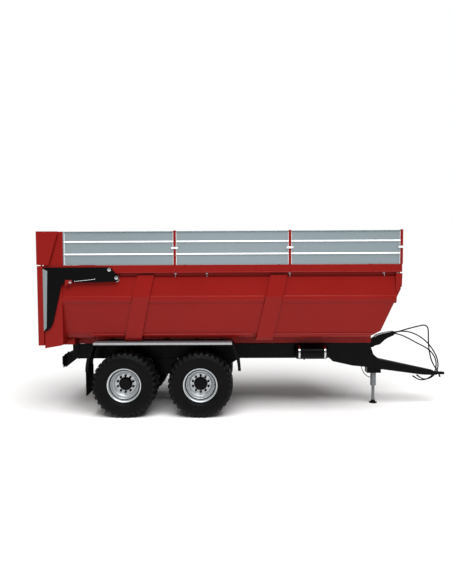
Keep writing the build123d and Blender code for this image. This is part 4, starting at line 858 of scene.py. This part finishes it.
class CART_OT_boards(bpy.types.Operator):
    """Makes the aluminium side boards with their bright lips, drawn near-white as a painted highlight"""

    bl_idname = "cart.boards"
    bl_label = "Side boards"

    def execute(self, context):
        settings = context.scene.cart_boards
        metal = board_aluminium(context.scene.cart_paint.board_colour)
        bright = edge_painted_highlight()
        for name, side in SIDES.items():
            low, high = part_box(f"side_boards_{name}")
            face = max(abs(low[1]), abs(high[1])) - 0.012
            foot = low[2] + 0.002
            levels = [foot + (high[2] - foot) * share for share in PLANK_LEVELS]
            planks, lips = bmesh.new(), bmesh.new()
            for start, end in board_sections():
                for bottom, top in zip(levels, levels[1:]):
                    shape = (planks, lips, (start, end), (bottom, top))
                    self.plank(*shape, face, settings, side, topmost=top == levels[-1])
            self.end_profile(planks, low, high, face, side)
            boards = dress(object_from(planks, f"planks_{name}"), "tub", metal)
            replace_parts(boards, f"side_boards_{name}")
            edges = dress(object_from(lips, f"plank_lips_{name}", 40.0), "tub", bright)
            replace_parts(edges, f"side_boards_{name}")
        return {"FINISHED"}

    def plank(self, planks, lips, span, levels, face, settings, side, topmost):
        """One smooth plank that leans in a little, its lip and a bright strip at each end; lower lips and
        strips are drawn near-white, a painted highlight.
        """
        bottom, top = levels
        lip = 0.016 if topmost else settings.lip_height
        reach, back, wall = settings.lip_reach, face - BOARD_THICKNESS, top - lip
        plank_points = [
            (back, bottom + 0.001), (face - 0.003, bottom + 0.001), (face, bottom + 0.004),
            (face - 0.004, wall - 0.001), (back, wall - 0.001),
        ]
        lip_points = [
            (back, wall), (face + 0.001, wall), (face + 0.6 * reach, wall + 0.003),
            (face + reach, wall + 0.008), (face + reach, wall + 0.3 * lip),
            (face + 0.75 * reach, wall + 0.7 * lip), (face + 0.2 * reach, top - 0.002),
            (face - 0.002, top), (back, top),
        ]
        add_extruded(planks, plank_points, *span, along_side(side))
        add_extruded(planks if topmost else lips, lip_points, *span, along_side(side))
        # bright end strips, drawn near-white as a painted highlight
        strip_width = 0.012
        strip_under, strip_face = side * (face + 0.0005), side * (face + 0.004)
        for end, inward in zip(span, (strip_width, -strip_width)):
            low_x, high_x = sorted((end, end + inward))
            add_block(lips, (low_x, strip_under, bottom + 0.002), (high_x, strip_face, wall - 0.002))

    def end_profile(self, bm, low, high, face, side):
        """Upright that closes the rear end of a side's boards."""
        y_low, y_high = side_span(side, face - BOARD_THICKNESS - 0.003, face + 0.012)
        add_block(bm, (low[0], y_low, low[2]), (low[0] + END_PROFILE_WIDTH, y_high, high[2]))


# ---- jack ----
class CART_OT_jack(bpy.types.Operator):
    """Makes the jack's bright leg and its black swivelling foot"""

    bl_idname = "cart.jack"
    bl_label = "Jack leg and foot"

    def execute(self, context):
        low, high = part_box("jack_leg")
        middle = node_middle("jack_leg")
        base = axis_frame((middle.x, middle.y, low[2]), (0, 0, 1))
        rod, foot = bmesh.new(), bmesh.new()
        leg_radius, collar_radius = 0.0345, 0.047
        top = high[2] - low[2]
        add_turned(rod, [(leg_radius, 0.060), (leg_radius, top - 0.003), (leg_radius - 0.003, top)], 48, base)
        foot_profile = [
            (0.080, 0.0), (0.086, 0.004), (0.086, 0.016), (0.080, 0.022), (0.062, 0.027), (0.050, 0.036),
            (collar_radius, 0.044), (collar_radius, 0.066), (collar_radius - 0.004, 0.070),
            (leg_radius + 0.001, 0.071),
        ]
        add_turned(foot, foot_profile, 64, base)
        for bm, name, slot, finish in (
            (rod, "jack_leg_tube", "grey_paint", grey_paint()),
            (foot, "jack_leg_foot", "black_paint", black_paint()),
        ):
            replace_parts(dress(object_from(bm, name, 35.0), "jack_leg", finish), "jack_leg")
        return {"FINISHED"}


# ---- creases of the body's sides ----
class CART_OT_creases(bpy.types.Operator):
    """Makes each side's rounded creases, its front corner flange and the lip below the top rail"""

    bl_idname = "cart.creases"
    bl_label = "Side creases"

    def execute(self, context):
        paint = red_paint(context.scene.cart_paint.body_colour)
        rear, _, floor_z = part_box("tub_shell")[0]
        crease_y, crease_z, floor_y = 1.225, 2.460, 1.065  # the side leans out from the floor to the crease
        proud = 0.010
        bend = self.arc(crease_y + proud, crease_z - 0.035, 0.160, -38.0, 28.0)
        bead_rise = 0.090
        slope = (crease_y - floor_y) / (crease_z - floor_z)
        bead = self.arc(floor_y + slope * bead_rise + proud, floor_z + bead_rise, 0.022, -60.0, 70.0)
        bend_spans = ((rear + 0.366, -2.445), (-2.088, 0.228), (0.585, 2.870))  # X between the leaning ribs
        bead_spans = ((-3.300, -2.620), (-2.300, -0.020), (0.360, 2.450))
        for name, side in SIDES.items():
            bm = bmesh.new()
            for section, spans in ((bend, bend_spans), (bead, bead_spans)):
                for start, end in spans:
                    add_extruded(bm, section, start, end, along_side(side))
            dress(object_from(bm, f"side_crease_{name}", 30.0), "tub", paint)
            self.rail_lip(name, side, paint)
            self.corner_flange(name, side, paint)
        return {"FINISHED"}

    def arc(self, outer, height, radius, first, last):
        """Rounded (y, z) section whose outermost point is at the given height, closed behind it."""
        steps = 10
        points = []
        for index in range(steps + 1):
            angle = math.radians(first + (last - first) * index / steps)
            points.append((outer - radius + radius * math.cos(angle), height + radius * math.sin(angle)))
        back = min(y for y, _ in points) - 0.012
        return points + [(back, points[-1][1]), (back, points[0][1])]

    def corner_flange(self, name, side, paint):
        """Folded flange down each front corner of the body, below the top rail."""
        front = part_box("top_rail")[1][0]
        back, top, foot = front - 0.120, 2.925, 2.560
        outline = [
            (back, top), (front + 0.010, top), (front + 0.002, 2.660), (front - 0.050, 2.622),
            (front - 0.062, foot), (back, foot),
        ]
        inner, outer = 1.2215, 1.2270
        bm = bmesh.new()
        add_extruded(bm, outline, side * inner, side * outer, across)
        dress(object_from(bm, f"corner_flange_{name}", 40.0), "tub", paint)

    def rail_lip(self, name, side, paint):
        """Half-round lip along the lower edge of the top rail."""
        low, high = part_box("top_rail")
        radius, steps = 0.009, 8
        centre_y, centre_z = high[1] - 0.001, low[2] + 0.012
        section = []
        for index in range(steps + 1):
            angle = math.radians(180 * index / steps - 90)
            section.append((centre_y + radius * math.cos(angle), centre_z + radius * math.sin(angle)))
        start, end = -2.66, high[0] - 0.002  # from the tailgate's arm to the front corner
        bm = bmesh.new()
        add_extruded(bm, section, start, end, along_side(side))
        dress(object_from(bm, f"top_rail_lip_{name}", 40.0), "tub", paint)


# ---- rear lamps ----
class CART_OT_lamps(bpy.types.Operator):
    """Makes the rear lamps: black housings, ribbed lenses and reflectors"""

    bl_idname = "cart.lamps"
    bl_label = "Rear lamps"

    def execute(self, context):
        black, lens = black_paint(), lamp_lens()
        low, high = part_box("tail_lamps")
        (rear, _, foot), (front, reach, top) = low, high
        width, lamp_height, plate_height, lenses = 0.106, 0.185, 0.040, 3
        lamp_foot = top - lamp_height
        lens_height = lamp_height / lenses
        gap, rim = 0.006, 0.008  # between the lenses, and between a lens and the housing's edge
        for name, side in SIDES.items():
            near, far = side_span(side, reach - width, reach)
            housing, glass = bmesh.new(), bmesh.new()
            add_block(housing, (rear + 0.010, near, lamp_foot), (front, far, top))
            add_block(housing, (front - 0.008, near, foot), (front, far, foot + plate_height))
            bevelled(housing, 0.003)
            for index in range(lenses):
                bottom = lamp_foot + index * lens_height
                corner = (rear + 0.014, far - rim, bottom + lens_height - gap)
                add_block(glass, (rear + 0.001, near + rim, bottom + gap), corner)
            corner = (front - 0.006, far - gap, foot + plate_height - 0.005)
            add_block(glass, (front - 0.012, near + gap, foot + 0.005), corner)
            bevelled(glass, 0.004, 3)
            for bm, kind, slot, finish in (
                (housing, "housing", "black_paint", black), (glass, "lens", "lamp_red", lens),
            ):
                piece = dress(object_from(bm, f"rear_lamp_{kind}_{name}", 40.0), "chassis", finish)
                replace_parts(piece, "tail_lamps")
        return {"FINISHED"}


# ---- trim ----
def add_bolt(bm, spot, direction, radius):
    """Hexagon head on a washer."""
    place = axis_frame(spot, direction)
    add_turned(bm, [(1.25 * radius, 0.0), (1.30 * radius, 0.0015), (1.25 * radius, 0.003)], 20, place)
    add_turned(bm, [(radius, 0.003), (radius, 0.010), (0.86 * radius, 0.012)], 6, place)


def add_hook(bm, spot, side, reach):
    """Bent-rod hook for a cover's cord, with its small base plate."""
    x, y, z = spot
    plate_width, plate_height, plate_thickness = 0.040, 0.020, 0.004
    y_low, y_high = sorted((y, y + side * plate_thickness))
    corner = (x + plate_width / 2, y_high, z + plate_height / 2)
    add_block(bm, (x - plate_width / 2, y_low, z - plate_height / 2), corner)
    path = [
        (0.0, 0.0), (0.018, 0.0), (0.028, -0.008), (0.030, -0.5 * reach), (0.030, 0.012 - reach),
        (0.024, -reach), (0.014, -reach),
    ]
    line = [Vector((x, y + side * out, z + down)) for out, down in path]
    radius, count = 0.006, 10
    angles = [2 * math.pi * index / count for index in range(count)]
    circle = [Vector((radius * math.cos(angle), radius * math.sin(angle), 0)) for angle in angles]
    rings = []
    for index, middle in enumerate(line):
        before, after = line[max(index - 1, 0)], line[min(index + 1, len(line) - 1)]
        place = axis_frame(middle, after - before)
        rings.append([bm.verts.new(place @ point) for point in circle])
    bm.faces.new(rings[0])
    for ring, following in zip(rings, rings[1:]):
        for index in range(count):
            after = (index + 1) % count
            bm.faces.new((ring[index], ring[after], following[after], following[index]))
    bm.faces.new(rings[-1])


class CART_OT_trim(bpy.types.Operator):
    """Makes the marker strips, pin caps, anchor plates, grab rods, sheet hooks, clamps and bolts"""

    bl_idname = "cart.trim"
    bl_label = "Trim and small fittings"

    def execute(self, context):
        settings = context.scene.cart_trim
        steel = bright_steel()
        self.strips(strip_plastic())
        self.caps(steel)
        self.anchor_plates(red_paint(context.scene.cart_paint.body_colour))
        self.grab_rods(steel)
        self.hooks(steel, settings)
        self.clamps(edge_painted_highlight())
        self.bolts(settings)
        return {"FINISHED"}

    def strips(self, pale):
        """Pale strip that stands along each side edge of the tailgate."""
        outline = [(-4.2195, 3.049), (-4.1115, 2.998), (-4.1475, 1.854), (-4.2215, 1.777)]
        inner, outer = 1.2672, 1.2745
        for name, side in SIDES.items():
            bm = bmesh.new()
            add_extruded(bm, outline, side * inner, side * outer, across)
            bevelled(bm, 0.003)
            dress(object_from(bm, f"marker_strip_{name}", 40.0), "tailgate", pale)

    def caps(self, steel):
        """Domed caps on the pins of the tailgate's arms and cylinders."""
        dome = [(0.036, 0.0), (0.038, 0.003), (0.037, 0.0065), (0.028, 0.0085), (0.012, 0.0095)]
        small_dome = [(0.7 * radius, height) for radius, height in dome]
        rod_pin, hinge_pin, anchor_pin = (-2.7275, 2.858), (-2.8685, 3.021), (-3.6545, 2.776)  # (x, z)
        arm_face, plate_face = 1.275, 1.2815
        for name, side in SIDES.items():
            outwards = (0, side, 0)
            bm = bmesh.new()
            add_turned(bm, dome, 40, axis_frame((rod_pin[0], side * arm_face, rod_pin[1]), outwards))
            dress(object_from(bm, f"arm_pin_cap_{name}", 35.0), "tailgate", steel)
            bm = bmesh.new()
            add_turned(bm, dome, 40, axis_frame((hinge_pin[0], side * arm_face, hinge_pin[1]), outwards))
            place = axis_frame((anchor_pin[0], side * plate_face, anchor_pin[1]), outwards)
            add_turned(bm, small_dome, 32, place)
            dress(object_from(bm, f"tub_pin_caps_{name}", 35.0), "tub", steel)

    def anchor_plates(self, paint):
        """Outer plate of each cylinder's anchor, which passes outside the arm."""
        outline = [
            (-3.755, 2.818), (-3.625, 2.818), (-3.606, 2.780), (-3.640, 2.742), (-3.700, 2.730),
            (-3.755, 2.692),
        ]
        wall, inner, outer = 1.2300, 1.2765, 1.2815
        for name, side in SIDES.items():
            bm = bmesh.new()
            add_extruded(bm, outline, side * inner, side * outer, across)
            near, far = side_span(side, wall, inner + 0.0005)
            add_block(bm, (-3.752, near, 2.694), (-3.708, far, 2.702))
            dress(object_from(bm, f"anchor_plate_{name}", 40.0), "tub", paint)

    def grab_rods(self, steel):
        """Thin round rod on two feet, on the outer face of each tailgate arm."""
        radius, end_radius, chamfer, reach = 0.0065, 0.003, 0.003, 1.276
        foot_profile = [(0.010, -0.010), (0.010, -0.002), (0.006, 0.0), (0.006, 0.006)]
        for name, side in SIDES.items():
            bm = bmesh.new()
            rear, front = Vector((-3.570, side * reach, 2.788)), Vector((-3.150, side * reach, 2.832))
            run = front - rear
            profile = [
                (end_radius, 0.0), (radius, chamfer), (radius, run.length - chamfer),
                (end_radius, run.length),
            ]
            add_turned(bm, profile, 14, axis_frame(rear, run))
            for share in (0.04, 0.96):
                add_turned(bm, foot_profile, 14, axis_frame(rear + run * share, (0, side, 0)))
            dress(object_from(bm, f"arm_grab_rod_{name}", 35.0), "tailgate", steel)

    def hooks(self, steel, settings):
        """Hooks in the shadow gap below the top rail, which a cover's cord goes round."""
        wall, height = 1.186, 2.935
        for name, side in SIDES.items():
            bm = bmesh.new()
            for x in (-1.55, -0.92, 0.74, 2.62, 2.90):
                add_hook(bm, (x, side * wall, height), side, settings.hook_reach)
            dress(object_from(bm, f"sheet_hooks_{name}", 40.0), "tub", steel)

    def clamps(self, bright):
        """Wing clamp on each post, which ties the boards' ends to it; bright metal drawn near-white, partly a
        painted highlight.
        """
        low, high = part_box("board_clamps")
        middle = (low[2] + high[2]) / 2
        posts = (*MIDDLE_POSTS, FRONT_POST)
        wing, short_wing, half_height = 0.068, 0.025, 0.020
        inner, outer = 1.245, 1.256
        knob = [(0.016, 0.0), (0.020, 0.002), (0.020, 0.011), (0.013, 0.015), (0.004, 0.0155)]
        for name, side in SIDES.items():
            bm = bmesh.new()
            near, far = side_span(side, inner, outer)
            for x in posts:
                ahead = short_wing if x == FRONT_POST else wing
                add_block(bm, (x - wing, near, middle - half_height), (x + ahead, far, middle + half_height))
            bevelled(bm, 0.004)
            for x in posts:
                add_turned(bm, knob, 24, axis_frame((x - 0.008, side * outer, middle), (0, side, 0)))
            clamp = dress(object_from(bm, f"post_clamps_{name}", 35.0), "tub", bright)
            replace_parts(clamp, "board_clamps")

    def bolts(self, settings):
        """Bolt heads at the bogie's hangers, the mudguards' brackets and the lamp bar."""
        finish = black_paint()
        bracket_face, bar_face = 0.512, 0.500
        hanger_x, hanger_z, spread = -1.8465, (1.17, 1.34), 0.10
        spots = [(hanger_x + x, bracket_face, z) for x in (-spread, spread) for z in hanger_z]
        spots += [(x, bracket_face, z) for x in (-3.008, -1.848, -0.648) for z in (1.30, 1.38)]
        spots += [(-3.96, bar_face, 1.24), (-3.90, bar_face, 1.17)]
        for name, side in SIDES.items():
            bm = bmesh.new()
            for x, face, z in spots:
                add_bolt(bm, (x, side * face, z), (0, side, 0), settings.bolt_radius)
            dress(object_from(bm, f"frame_bolts_{name}", 30.0), "chassis", finish)


# ---- panel and registration ----
GROUPS = {
    "cart_stage": CartStage,
    "cart_paint": CartPaint,
    "cart_tyres": CartTyres,
    "cart_rims": CartRims,
    "cart_boards": CartBoards,
    "cart_trim": CartTrim,
}
STEPS = (
    CART_OT_stage, CART_OT_hoses, CART_OT_carrier_cover_and_highlight, CART_OT_finishes, CART_OT_tyres, CART_OT_rims,
    CART_OT_boards, CART_OT_jack, CART_OT_creases, CART_OT_lamps, CART_OT_trim,
)


class CART_PT_sidebar(bpy.types.Panel):
    """Lists the cart's settings and its making steps"""

    bl_idname = "CART_PT_sidebar"
    bl_label = "Grain cart"
    bl_space_type = "VIEW_3D"
    bl_region_type = "UI"
    bl_category = "Grain cart"

    def draw(self, context):
        layout = self.layout
        for name, group in GROUPS.items():
            box = layout.box()
            settings = getattr(context.scene, name)
            for prop in group.__annotations__:
                box.prop(settings, prop)
        for step in STEPS:
            layout.operator(step.bl_idname)


def register():
    for group in GROUPS.values():
        bpy.utils.register_class(group)
    for step in STEPS:
        bpy.utils.register_class(step)
    bpy.utils.register_class(CART_PT_sidebar)
    for name, group in GROUPS.items():
        setattr(bpy.types.Scene, name, PointerProperty(type=group))


def unregister():
    for name in GROUPS:
        delattr(bpy.types.Scene, name)
    bpy.utils.unregister_class(CART_PT_sidebar)
    for step in reversed(STEPS):
        bpy.utils.unregister_class(step)
    for group in reversed(list(GROUPS.values())):
        bpy.utils.unregister_class(group)


def main():
    register()
    for step in STEPS:
        group, name = step.bl_idname.split(".")
        getattr(getattr(bpy.ops, group), name)()
    bpy.context.view_layer.update()


if __name__ == "__main__":
    main()
